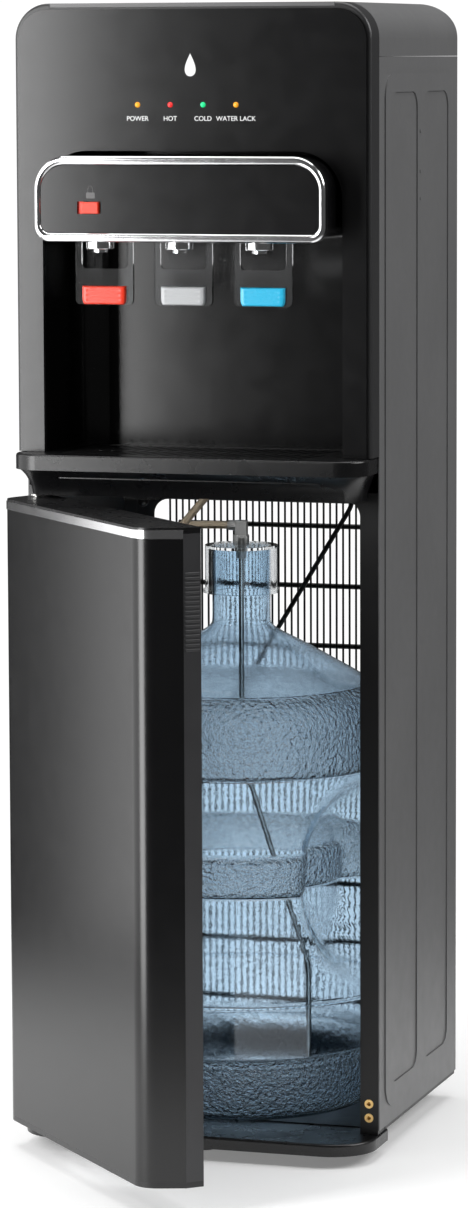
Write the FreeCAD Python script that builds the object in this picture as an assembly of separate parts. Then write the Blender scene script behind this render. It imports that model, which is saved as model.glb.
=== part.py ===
"""Floor-standing bottom-load water dispenser: hot, ambient and cold, with a swing door over the bottle bay.

Frame: millimetres, +Z up, the user stands on the -Y side. X = 0 is the cabinet's middle plane, Y = 0 the
front edge of the side panels, Z = 0 the floor. The door stands open by DOOR_OPEN degrees.
"""
import FreeCAD, Part
import math
import os

V = FreeCAD.Vector
os.makedirs("parts", exist_ok=True)

# ---------------------------------------------------------------- driving dimensions
WIDTH = 325.0            # over the side panels
SIDE_DEPTH = 264.0       # side panel, front edge to rear edge
HEIGHT = 1017.0          # floor to lid top
LID_SEAM = 970.0         # where the lid meets the side panels
SIDE_BOTTOM = 25.5       # lower edge of the side panels
SHEET = 1.0              # steel sheet
WALL = 2.2               # moulded wall
FIT = 0.3                # gap between pieces that only lie beside each other
RUN = 0.05               # radial running clearance of pins
SLIDE = 0.4              # clearance around sliding pieces

FRONT_Y = -24.5          # upper front frame, its front face
FASCIA_T = 2.5
FRAME_CORNER = 31.0      # upper corners of the front
NICHE_HALF = 137.0       # half width of the dispensing niche
NICHE_TOP = 889.0
NICHE_BACK = 75.0
NICHE_CORNER = 41.0
COVE = 26.0              # rounded corner between niche side and back

SHELF_TOP = 624.0
SHELF_LIP = 14.0         # height of the lip band
SHELF_BOTTOM = 586.0
SHELF_FRONT = -54.0
SHELF_CORNER = 25.0
TRAY_HALF = 122.0
TRAY_DEPTH = 22.0        # pocket for tray and grille
INLET = V(-6.7, 49.0, 0.0)  # where the hose enters the deck
HOSE_CHANNEL = 9.0

PLINTH_BOTTOM = 11.0
PLINTH_TOP = 22.0
PLINTH_FRONT = -50.0
PLINTH_CORNER = 40.0
PLINTH_REAR_HALF = 126.0

DOOR_FRONT = -52.0
DOOR_BACK = -1.5
DOOR_BOTTOM = 25.0
DOOR_TOP = 583.5
DOOR_INSET = 16.0        # how far the side slopes inwards
DOOR_RIM = 16.0          # depth of the straight rear rim
DOOR_CORNER = 21.0
DOOR_WALL = 2.5
HINGE_INSET = 15.5        # hinge line to the cabinet's side
HINGE = V(HINGE_INSET - WIDTH / 2.0, -19.0, 0.0)
HINGE_PIN_R = 3.0
DOOR_OPEN = 47.5

POST_W = 17.5            # front post, seen width
POST_D = 22.0
DECK_Z = 590.0           # steel deck above the bottle bay
DECK_T = 2.0

POD_HALF = 132.0
POD_BOTTOM = 811.0
POD_TOP = 885.5
POD_FRONT = -64.0
POD_R_TOP = 29.0
POD_R_BOTTOM = 14.0
BEZEL_DEPTH = 10.0
BEZEL_SIDE = 6.0
BEZEL_BAND = 8.0

TAP_CENTRE = -2.5
TAP_PITCH = 72.4
TAP_NAMES = ("hot", "ambient", "cold")
NOZZLE_Y = -50.0
NOZZLE_R = 12.4
VALVE_R = 7.0
LEVER_Y = -40.0          # middle plane of the paddles
LEVER_T = 3.2
LEVER_HALF = 26.5
LEVER_WINDOW = 20.8
LEVER_BOTTOM = 755.5
LEVER_PIVOT = V(0.0, -36.0, 829.0)
LEVER_PIN_R = 2.0

TANK_FROM_HOT_TAP = 74.9   # cold tank's centre line to the hot tap's, across the cabinet
COLD_TANK = V(TAP_CENTRE - TAP_PITCH + TANK_FROM_HOT_TAP, 172.0, 0.0)

LED_CENTRE = -3.5
LED_PITCH = 29.9
LED_Z = 929.0
LED_R = 2.4
LED_COUNT = 4

BOTTLE = V(0.0, 116.0, 23.0)
BOTTLE_R = 134.0
BOTTLE_WALL = 1.4
NECK_R = 26.5
NECK_BOTTOM = 461.0
COLLAR_BOTTOM = 488.0
COLLAR_TOP = 531.0
COLLAR_R = 33.0
PROBE_REACH = 63.0        # how far the dip tube steps sideways inside the bottle

COND_Y = 277.0           # plane of the condenser tube
COND_TUBE_R = 2.4
COND_PITCH = 56.5
COND_TOP_RUN = 533.0
COND_RUNS = 9
COND_HALF = 112.0
WIRE_R = 1.0
WIRE_PITCH = 6.3
WIRES = 39

HALF = WIDTH / 2.0
INNER = HALF - SHEET
NODES = {}


# ---------------------------------------------------------------- shape helpers
def box(x0, x1, y0, y1, z0, z1):
    """Block between two corners."""
    return Part.makeBox(x1 - x0, y1 - y0, z1 - z0, V(x0, y0, z0))


def rod(radius, start, end):
    """Cylinder from one point to another."""
    axis = end - start
    return Part.makeCylinder(radius, axis.Length, start, axis)


def tube(outer, inner, start, end):
    """Hollow cylinder."""
    return rod(outer, start, end).cut(rod(inner, start, end))


def rounded_wire(points, radii, place):
    """Closed outline through 2-D points, each corner rounded by its radius; place maps (u, v) to space."""
    count = len(points)
    corners = []
    for i, (u, v) in enumerate(points):
        here = V(u, v, 0)
        before = (V(*points[i - 1], 0) - here).normalize()
        after = (V(*points[(i + 1) % count], 0) - here).normalize()
        if radii[i] <= 0:
            corners.append((here, None, here))
            continue
        angle = before.getAngle(after)
        reach = radii[i] / math.tan(angle / 2)
        middle = here + (before + after).normalize() * (radii[i] / math.sin(angle / 2) - radii[i])
        corners.append((here + before * reach, middle, here + after * reach))
    edges = []
    for i, (start, middle, end) in enumerate(corners):
        if middle is not None:
            edges.append(Part.Arc(place(start), place(middle), place(end)).toShape())
        following = corners[(i + 1) % count][0]
        if (following - end).Length > 1e-6:
            edges.append(Part.LineSegment(place(end), place(following)).toShape())
    return Part.Wire(edges)


def plate(points, radii, plane, start, thickness):
    """Slab with a rounded outline: plane XY grows along Z, XZ along Y and YZ along X."""
    places = {"XY": (lambda p: V(p.x, p.y, start), V(0, 0, thickness)),
              "XZ": (lambda p: V(p.x, start, p.y), V(0, thickness, 0)),
              "YZ": (lambda p: V(start, p.x, p.y), V(thickness, 0, 0))}
    place, grow = places[plane]
    return Part.Face(rounded_wire(points, radii, place)).extrude(grow)


def rect(u0, u1, v0, v1):
    """Corner points of a rectangle, from the lower left, going round."""
    return [(u0, v0), (u1, v0), (u1, v1), (u0, v1)]


def pipe(points, radius, share=0.45):
    """Round bar along straight runs joined by tangent arcs; each arc is as large as its runs allow."""
    edges = []
    last = points[0]
    for i in range(1, len(points) - 1):
        before = points[i] - points[i - 1]
        after = points[i + 1] - points[i]
        turn = before.getAngle(after)
        reach = share * min(before.Length, after.Length)
        a = points[i] - V(before).normalize() * reach
        b = points[i] + V(after).normalize() * reach
        bend = reach / math.tan(turn / 2)
        towards = (V(after).normalize() - V(before).normalize()).normalize()
        middle = points[i] + towards * (bend / math.cos(turn / 2) - bend)
        edges.append(Part.LineSegment(last, a).toShape())
        edges.append(Part.Arc(a, middle, b).toShape())
        last = b
    edges.append(Part.LineSegment(last, points[-1]).toShape())
    path = Part.Wire(edges)
    start = points[1] - points[0]
    ring = Part.Wire([Part.makeCircle(radius, points[0], start)])
    return path.makePipeShell([ring], True, False), path.Length


def group(shapes):
    """Identical pieces kept as separate solids of one node."""
    return Part.makeCompound(shapes)


def revolve(profile, centre):
    """Solid of revolution about the vertical line through centre; the profile lists (radius, z)."""
    points = [V(centre.x + r, centre.y, z) for r, z in profile]
    face = Part.Face(Part.makePolygon(points + [points[0]]))
    return face.revolve(V(centre.x, centre.y, 0), V(0, 0, 1), 360)


def add(name, shape):
    """Keep a sub-part under its node name."""
    if shape.ShapeType == "Compound" and len(shape.Solids) == 1:
        shape = shape.Solids[0]
    NODES[name] = shape


# ---------------------------------------------------------------- cabinet
def plinth():
    """Moulded base: a full-width rounded front with short side returns, narrower behind them."""
    side_end = 28.0
    front = plate([(-HALF, PLINTH_FRONT), (HALF, PLINTH_FRONT), (HALF, side_end), (-HALF, side_end)],
                  [PLINTH_CORNER, PLINTH_CORNER, 0, 0], "XY", PLINTH_BOTTOM, PLINTH_TOP - PLINTH_BOTTOM)
    rear = box(-PLINTH_REAR_HALF, PLINTH_REAR_HALF, side_end, SIDE_DEPTH - 2, PLINTH_BOTTOM, PLINTH_TOP)
    body = front.fuse(rear).removeSplitter()
    front_edge = [e for e in body.Edges if e.BoundBox.ZMin > PLINTH_TOP - 0.1 and e.BoundBox.YMax < side_end - 1]
    body = body.makeFillet(2.5, front_edge)
    add("base_plinth", body)
    pan = box(-INNER, INNER, POST_D + FIT, SIDE_DEPTH - SHEET - FIT, PLINTH_TOP, PLINTH_TOP + SHEET)
    side_flange = 14.0
    for side in (-1, 1):
        x = side * (INNER - SHEET / 2)
        pan = pan.fuse(box(x - SHEET / 2, x + SHEET / 2, POST_D + FIT, SIDE_DEPTH - SHEET - FIT,
                           PLINTH_TOP, PLINTH_TOP + side_flange))
    add("base_pan", pan.removeSplitter())


def feet():
    """Four levelling feet near the corners and a fixed pad below the front of the bottle."""
    pad_r, stem_r, pad_h = 13.0, 4.0, 6.0
    solids = []
    for x in (-112.0, 112.0):
        for y in (12.0, 236.0):
            pad = Part.makeCone(pad_r - 1.5, pad_r, 1.5, V(x, y, 0))
            pad = pad.fuse(rod(pad_r, V(x, y, 1.5), V(x, y, pad_h)))
            solids.append(pad.fuse(rod(stem_r, V(x, y, pad_h), V(x, y, PLINTH_BOTTOM))))
    centre = Part.makeCone(pad_r - 1.5, pad_r, 1.5)
    solids.append(centre.fuse(rod(pad_r, V(0, 0, 1.5), V(0, 0, PLINTH_BOTTOM))))
    add("levelling_feet", group(solids))


def lower_frame():
    """Front frame of the bottle bay: two posts and a header in one moulding, rounded at the inner corners."""
    opening_half = HALF - POST_W
    header_bottom = SHELF_BOTTOM - 1.0
    outer = box(-INNER + FIT, INNER - FIT, 0.0, POST_D, PLINTH_TOP, DECK_Z + DECK_T)
    hole = plate(rect(-opening_half, opening_half, PLINTH_TOP - 20, header_bottom), [0, 0, 14.0, 14.0],
                 "XZ", -1.0, POST_D + 2)
    frame = outer.cut(hole)
    insert_r = 4.0
    inserts = []
    for side in (-1, 1):
        for z in (36.7, 49.4):
            x = side * (HALF - 9.5)
            start, end = V(x, 8.0, z), V(x, -0.6, z)
            frame = frame.cut(rod(insert_r + 0.02, start, V(x, -2.0, z)))
            inserts.append(tube(insert_r, 1.8, start, end).fuse(rod(1.8, start, V(x, 4.0, z))))
    add("lower_frame", frame)
    add("brass_inserts", group(inserts))


def side_panel(side, name):
    """Pressed steel side: flat sheet, a raised field with two long sunk panels, and a rear flange."""
    raise_h = 1.2
    sheet_start = INNER if side > 0 else -HALF
    panel = box(sheet_start, sheet_start + SHEET, 0.0, SIDE_DEPTH, SIDE_BOTTOM, LID_SEAM - 0.3)
    field_start = HALF if side > 0 else -HALF - raise_h
    field = plate(rect(17.0, 246.0, 41.0, 955.0), [22.0] * 4, "YZ", field_start, raise_h)
    for y0, y1 in ((36.0, 122.0), (145.0, 227.6)):
        field = field.cut(plate(rect(y0, y1, 60.0, 939.0), [15.0] * 4, "YZ", field_start - 1, raise_h + 2))
    panel = panel.fuse(field)
    flange = 12.0
    x0 = side * INNER if side < 0 else INNER - flange
    panel = panel.fuse(box(x0, x0 + flange, SIDE_DEPTH - SHEET, SIDE_DEPTH, SIDE_BOTTOM, LID_SEAM - 0.3))
    for z in (844.5, 868.4, 904.0):
        panel = panel.fuse(rod(1.8, V(side * HALF, 130.5, z), V(side * (HALF + raise_h + 0.6), 130.5, z)))
    add(name, panel.removeSplitter())


def rear_panel():
    """Rear sheet: a large window behind the bottle, and louvre slots above it."""
    edge = INNER - 12.0 - FIT
    y0 = SIDE_DEPTH - SHEET
    panel = box(-edge, edge, y0, SIDE_DEPTH, SIDE_BOTTOM, LID_SEAM - 0.3)
    panel = panel.cut(plate(rect(-132.0, 132.0, 60.0, 556.0), [14.0] * 4, "XZ", y0 - 1, 3))
    slots = []
    for row in range(9):
        for x in (-95.0, 0.0, 95.0):
            z = 700.0 + row * 12.0
            slots.append(plate(rect(x - 36, x + 36, z, z + 4), [1.9] * 4, "XZ", y0 - 1, 3))
    for x, z, w, h in ((-100.0, 632.0, 27.4, 20.4), (-100.0, 920.0, 21.4, 15.4), (-70.0, 920.0, 21.4, 15.4),
                       (-40.0, 920.0, 21.4, 15.4)):
        slots.append(box(x - w / 2, x + w / 2, y0 - 1, SIDE_DEPTH + 1, z - h / 2, z + h / 2))
    slots.append(rod(8.2, V(-30.0, y0 - 1, 625.0), V(-30.0, SIDE_DEPTH + 1, 625.0)))
    slots.append(rod(2.5, V(64.0, y0 - 1, 575.0), V(64.0, SIDE_DEPTH + 1, 575.0)))
    add("rear_panel", panel.cut(slots))


def decks():
    """Steel deck over the bottle bay and the shelf that carries the cold tank."""
    y0, y1 = POST_D + FIT, SIDE_DEPTH - SHEET - FIT
    deck = box(-INNER + FIT, INNER - FIT, y0, y1, DECK_Z, DECK_Z + DECK_T)
    deck = deck.cut(rod(6.3, V(INLET.x, INLET.y, DECK_Z - 5), V(INLET.x, INLET.y, DECK_Z + 10)))
    shelf = box(-INNER + FIT, INNER - FIT, NICHE_BACK + WALL + 12, y1, 762.0, 764.0)
    for x, y, r in ((-92.0, 190.0, 7.0), (COLD_TANK.x, COLD_TANK.y, 7.0)):
        shelf = shelf.cut(rod(r, V(x, y, 755.0), V(x, y, 770.0)))
    for side in (-1, 1):
        x = side * (INNER - FIT - SHEET / 2)
        shelf = shelf.fuse(box(x - SHEET / 2, x + SHEET / 2, NICHE_BACK + WALL + 12, y1, 750.0, 763.0))
    add("inner_decks", group([deck, shelf.removeSplitter()]))


def lid():
    """Top cover: rounded along both sides and down the rear, with a lip over the front frame."""
    y0, radius = FIT, FRAME_CORNER
    t, rear_r = 2.5, 24.0
    outer = plate(rect(-HALF, HALF, LID_SEAM, HEIGHT), [0, 0, radius, radius], "XZ", y0, SIDE_DEPTH - y0)
    outer = outer.common(plate(rect(y0 - 5, SIDE_DEPTH, LID_SEAM - 5, HEIGHT), [0, 0, rear_r, 0],
                               "YZ", -HALF - 5, WIDTH + 10))
    inner = plate(rect(-HALF + t, HALF - t, LID_SEAM - 5, HEIGHT - t), [0, 0, radius - t, radius - t],
                  "XZ", y0 - 1, SIDE_DEPTH - y0 - t + 1)
    inner = inner.common(plate(rect(y0 - 5, SIDE_DEPTH - t, LID_SEAM - 9, HEIGHT - t), [0, 0, rear_r - t, 0],
                               "YZ", -HALF - 5, WIDTH + 10))
    shell = outer.cut(inner)
    lip_half = HALF - FRAME_CORNER - 2.0
    shell = shell.fuse(box(-lip_half, lip_half, FRONT_Y, y0 + 4.0, HEIGHT - 3.6, HEIGHT))
    add("top_cover", shell.removeSplitter())


# ---------------------------------------------------------------- upper front
def front_frame():
    """Moulded front surround: side faces, rounded upper corners and the panel behind the fascia."""
    y1 = 0.0
    base = SHELF_TOP + FIT
    outer = plate(rect(-HALF, HALF, base, HEIGHT), [0, 0, FRAME_CORNER, FRAME_CORNER], "XZ", FRONT_Y, y1 - FRONT_Y)
    corner_edges = [e for e in outer.Edges if e.BoundBox.YMax < FRONT_Y + 0.1 and e.BoundBox.ZMax > base + 1]
    outer = outer.makeFillet(3.0, corner_edges)
    inner = plate(rect(-HALF + WALL, HALF - WALL, base - 5, HEIGHT - 6.0),
                  [0, 0, FRAME_CORNER - 6, FRAME_CORNER - 6], "XZ", FRONT_Y + WALL, 60)
    hole = plate(rect(-NICHE_HALF, NICHE_HALF, base - 10, NICHE_TOP), [0, 0, NICHE_CORNER, NICHE_CORNER],
                 "XZ", FRONT_Y - 5, 12)
    lip_half = HALF - FRAME_CORNER - 2.0 + FIT
    notch = box(-lip_half, lip_half, FRONT_Y - 1, y1 + 1, HEIGHT - 3.9, HEIGHT + 1)
    frame = outer.cut(inner).cut(hole).cut(notch)
    for i in range(LED_COUNT):
        x = LED_CENTRE + (i - 1.5) * LED_PITCH
        frame = frame.cut(rod(LED_R + 0.15, V(x, FRONT_Y - 5, LED_Z), V(x, FRONT_Y + 5, LED_Z)))
    add("front_frame", frame)


def fascia():
    """Gloss front plate: an inverted U around the niche, with four indicator holes."""
    half = HALF - 4.0
    base = SHELF_TOP + FIT
    shape = plate(rect(-half, half, base, HEIGHT - 5.5), [0, 0, 27.0, 27.0], "XZ", FRONT_Y - FASCIA_T, FASCIA_T)
    hole = plate(rect(-NICHE_HALF, NICHE_HALF, base - 10, NICHE_TOP), [0, 0, NICHE_CORNER, NICHE_CORNER],
                 "XZ", FRONT_Y - 10, 20)
    shape = shape.cut(hole)
    places, lenses = [], []
    for i in range(LED_COUNT):
        x = LED_CENTRE + (i - 1.5) * LED_PITCH
        shape = shape.cut(rod(LED_R + 0.15, V(x, FRONT_Y - 10, LED_Z), V(x, FRONT_Y + 5, LED_Z)))
        lens = rod(LED_R, V(x, FRONT_Y + 5.5, LED_Z), V(x, FRONT_Y - FASCIA_T + 0.3, LED_Z))
        dome = Part.makeSphere(LED_R, V(x, FRONT_Y - FASCIA_T + 0.3, LED_Z))
        lenses.append(lens.fuse(dome).removeSplitter())
        places.append(x)
    add("indicator_lenses", group(lenses))
    add("front_fascia", shape)
    y = FRONT_Y + 5.5
    board = box(places[0] - 12, places[3] + 12, y, y + 1.6, LED_Z - 10, LED_Z + 12)
    for x in (places[0] - 8, places[3] + 8):
        post = box(x - 2.5, x + 2.5, FRONT_Y + WALL, y, LED_Z + 5, LED_Z + 10)
        board = board.fuse(post)
    for i in range(5):
        x = places[0] + 9 + i * 17
        board = board.fuse(box(x, x + 6, y + 1.6, y + 4.0, LED_Z - 6, LED_Z - 1))
    return board.removeSplitter()


def niche():
    """Niche liner: side walls that sweep round a cove into the back wall, with a flat ceiling."""
    y0 = FRONT_Y + WALL
    z0 = SHELF_TOP
    outer = plate([(-NICHE_HALF - WALL, y0), (NICHE_HALF + WALL, y0), (NICHE_HALF + WALL, NICHE_BACK + WALL),
                   (-NICHE_HALF - WALL, NICHE_BACK + WALL)], [0, 0, COVE + WALL, COVE + WALL], "XY",
                  z0, NICHE_TOP + WALL - z0)
    inner = plate([(-NICHE_HALF, y0 - 5), (NICHE_HALF, y0 - 5), (NICHE_HALF, NICHE_BACK),
                   (-NICHE_HALF, NICHE_BACK)], [0, 0, COVE, COVE], "XY", z0 - 5, NICHE_TOP - z0 + 5)
    liner = outer.cut(inner)
    for name_index in range(3):
        x = TAP_CENTRE + (name_index - 1) * TAP_PITCH
        liner = liner.cut(rod(6.0, V(x, NICHE_BACK - 3, 846.0), V(x, NICHE_BACK + 6, 846.0)))
    add("niche_liner", liner)


def drip_shelf():
    """Moulding under the niche: a lip band, a concave underside, and a rear floor inside the niche."""
    lip_bottom = SHELF_TOP - SHELF_LIP
    half = HALF - 1.0

    def ring(inset, z):
        """Plan outline of the front part, drawn in by inset at height z."""
        points = [(-half + inset * 0.35, SHELF_FRONT + inset), (half - inset * 0.35, SHELF_FRONT + inset),
                  (half - inset * 0.35, -0.3), (-half + inset * 0.35, -0.3)]
        radius = SHELF_CORNER - inset * 0.45
        return rounded_wire(points, [radius, radius, 0, 0], lambda p: V(p.x, p.y, z))

    lip = Part.Face(ring(0.0, lip_bottom)).extrude(V(0, 0, SHELF_LIP))
    lip = lip.makeFillet(2.5, [e for e in lip.Edges
                               if e.BoundBox.ZMin > SHELF_TOP - 0.1 and e.BoundBox.YMax < -1])
    depth = SHELF_BOTTOM - lip_bottom
    skirt = Part.makeLoft([ring(4.0, lip_bottom), ring(13.0, lip_bottom + 0.2 * depth),
                           ring(21.0, lip_bottom + 0.5 * depth), ring(27.0, SHELF_BOTTOM)], True, False)
    shelf = lip.fuse(skirt)
    floor_half = NICHE_HALF + WALL
    floor_r = COVE + WALL
    floor_z = DECK_Z + DECK_T + FIT
    shelf = shelf.fuse(plate([(-floor_half, -FIT), (floor_half, -FIT), (floor_half, NICHE_BACK + WALL),
                              (-floor_half, NICHE_BACK + WALL)], [0, 0, floor_r, floor_r], "XY",
                             floor_z, SHELF_TOP - floor_z))
    y0, y1, pocket_z = -38.0, 62.0, SHELF_TOP - TRAY_DEPTH
    shelf = shelf.cut(box(-TRAY_HALF, TRAY_HALF, y0, y1, pocket_z, SHELF_TOP + 5))
    channel = HOSE_CHANNEL / 2
    shelf = shelf.cut(box(INLET.x - channel, INLET.x + channel, INLET.y - channel, NICHE_BACK + 5,
                          DECK_Z, DECK_Z + DECK_T + HOSE_CHANNEL - 0.5))
    back = NICHE_BACK + WALL + 1
    zones = [box(-HALF, HALF, SHELF_FRONT - 1, y0, 500, 700), box(-HALF, HALF, y1, back, 500, 700),
             box(-TRAY_HALF, TRAY_HALF, y0, -FIT, 500, 700), box(-TRAY_HALF, TRAY_HALF, -FIT, y1, 500, 700)]
    for x0, x1 in ((-HALF, -TRAY_HALF), (TRAY_HALF, HALF)):
        zones += [box(x0, x1, y0, -FIT, 500, 700), box(x0, x1, -FIT, y1, 500, 700)]
    add("drip_shelf", group([solid for zone in zones for solid in shelf.common(zone).Solids]))

    gap = 0.5
    corner, wall = 3.0, 2.5
    cup = plate(rect(-TRAY_HALF + gap, TRAY_HALF - gap, y0 + gap, y1 - gap), [corner] * 4, "XY",
                pocket_z, TRAY_DEPTH - 4.0)
    inside, base, rim = TRAY_HALF - wall, pocket_z + 2.0, SHELF_TOP
    zones = [box(-HALF, HALF, y0, y1, pocket_z - 1, base), box(-HALF, HALF, y0, y0 + wall, base, rim),
             box(-HALF, HALF, y1 - wall, y1, base, rim), box(-HALF, -inside, y0 + wall, y1 - wall, base, rim),
             box(inside, HALF, y0 + wall, y1 - wall, base, rim)]
    add("drip_tray", group([solid for zone in zones for solid in cup.common(zone).Solids]))

    grille = plate(rect(-TRAY_HALF + gap, TRAY_HALF - gap, y0 + gap, y1 - gap), [corner] * 4, "XY",
                   SHELF_TOP - 4.0, 3.6)
    slots = []
    pitch, slant = 11.0, 16.0
    for i in range(20):
        x = -TRAY_HALF + 8.0 + i * pitch
        for y_a, y_b in ((-32.0, 8.0), (16.0, 56.0)):
            slots.append(plate([(x, y_a), (x + 4.2, y_a), (x + 4.2 + slant, y_b), (x + slant, y_b)], [0] * 4,
                               "XY", SHELF_TOP - 8.0, 12.0))
    add("drip_grille", grille.cut([s for s in slots if s.BoundBox.XMax < TRAY_HALF - 4]))


# ---------------------------------------------------------------- tap pod
def pod_outline(inset):
    """Front outline of the tap pod, drawn in by inset, with its corner radii."""
    points = rect(-POD_HALF + inset, POD_HALF - inset, POD_BOTTOM + inset, POD_TOP - inset)
    low, high = max(POD_R_BOTTOM - inset, 2.0), max(POD_R_TOP - inset, 2.0)
    return points, [low, low, high, high]


def tap_pod():
    """Pod over the taps: housing, bright bezel ring, front plate and the child lock in its slot."""
    bezel_back = POD_FRONT + BEZEL_DEPTH
    points, radii = pod_outline(1.2)
    housing = plate(points, radii, "XZ", bezel_back, NICHE_BACK - FIT - bezel_back)
    points, radii = pod_outline(1.2 + WALL)
    housing = housing.cut(plate(points, radii, "XZ", bezel_back - 2, NICHE_BACK - bezel_back + 10))
    for i in range(3):
        x = TAP_CENTRE + (i - 1) * TAP_PITCH
        housing = housing.cut(rod(NOZZLE_R + 0.6, V(x, NOZZLE_Y + 9, POD_BOTTOM - 5),
                                  V(x, NOZZLE_Y + 9, POD_BOTTOM + 6)))
        housing = housing.cut(box(x - NOZZLE_R - 0.6, x + NOZZLE_R + 0.6, bezel_back - 3, NOZZLE_Y + 9,
                                  POD_BOTTOM - 5, POD_BOTTOM + 6))
        housing = housing.cut(box(x - LEVER_HALF - 0.8, x + LEVER_HALF + 0.8, LEVER_Y - 3.5, LEVER_Y + 10,
                                  POD_BOTTOM - 5, POD_BOTTOM + 6))
    room = plate([(-NICHE_HALF + FIT, bezel_back - 5), (NICHE_HALF - FIT, bezel_back - 5),
                  (NICHE_HALF - FIT, NICHE_BACK - FIT), (-NICHE_HALF + FIT, NICHE_BACK - FIT)],
                 [0, 0, COVE, COVE], "XY", POD_BOTTOM - 5, POD_TOP - POD_BOTTOM + 10)
    add("tap_housing", housing.common(room))

    points, radii = pod_outline(0.0)
    ring = plate(points, radii, "XZ", POD_FRONT, BEZEL_DEPTH)
    face_points = rect(-POD_HALF + BEZEL_SIDE, POD_HALF - BEZEL_SIDE, POD_BOTTOM + BEZEL_BAND, POD_TOP - BEZEL_BAND)
    face_radii = [POD_R_BOTTOM - 6, POD_R_BOTTOM - 6, POD_R_TOP - 7, POD_R_TOP - 7]
    front_edges = [e for e in ring.Edges if e.BoundBox.YMax < POD_FRONT + 0.1]
    ring = ring.makeFillet(2.2, front_edges)
    ring = ring.cut(plate(face_points, face_radii, "XZ", POD_FRONT - 5, BEZEL_DEPTH + 10))
    for i in range(3):
        x = TAP_CENTRE + (i - 1) * TAP_PITCH
        ring = ring.cut(rod(NOZZLE_R + 0.6, V(x, NOZZLE_Y, POD_BOTTOM - 5), V(x, NOZZLE_Y, POD_BOTTOM + 12)))
    add("chrome_bezel", ring)

    gap = 0.15
    face_in = rect(-POD_HALF + BEZEL_SIDE + gap, POD_HALF - BEZEL_SIDE - gap,
                   POD_BOTTOM + BEZEL_BAND + gap, POD_TOP - BEZEL_BAND - gap)
    face_y = POD_FRONT + 1.6
    face = plate(face_in, [r - gap for r in face_radii], "XZ", face_y, 2.0)
    lock_x, lock_z, lock_w, lock_h, travel = -80.0, 840.6, 16.0, 10.0, 4.0
    face = face.cut(box(lock_x - lock_w / 2 - travel - SLIDE, lock_x + lock_w / 2 + SLIDE, face_y - 1, face_y + 4,
                        lock_z - lock_h / 2 - SLIDE, lock_z + lock_h / 2 + SLIDE))
    for side in (-1, 1):
        face = face.fuse(box(side * 112 - 4, side * 112 + 4, face_y + 2, bezel_back + 4, 822.0, 870.0))
    add("pod_face", face.removeSplitter())
    knob = box(lock_x - lock_w / 2, lock_x + lock_w / 2, face_y - 3.6, face_y + 2.3,
               lock_z - lock_h / 2, lock_z + lock_h / 2)
    knob = knob.makeFillet(0.8, [e for e in knob.Edges if e.BoundBox.YMax < face_y - 3.5])
    knob = knob.fuse(box(lock_x - 15, lock_x + 15, face_y + 2.3, face_y + 4.3, lock_z - 8, lock_z + 8))
    add("child_lock", knob)


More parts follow.
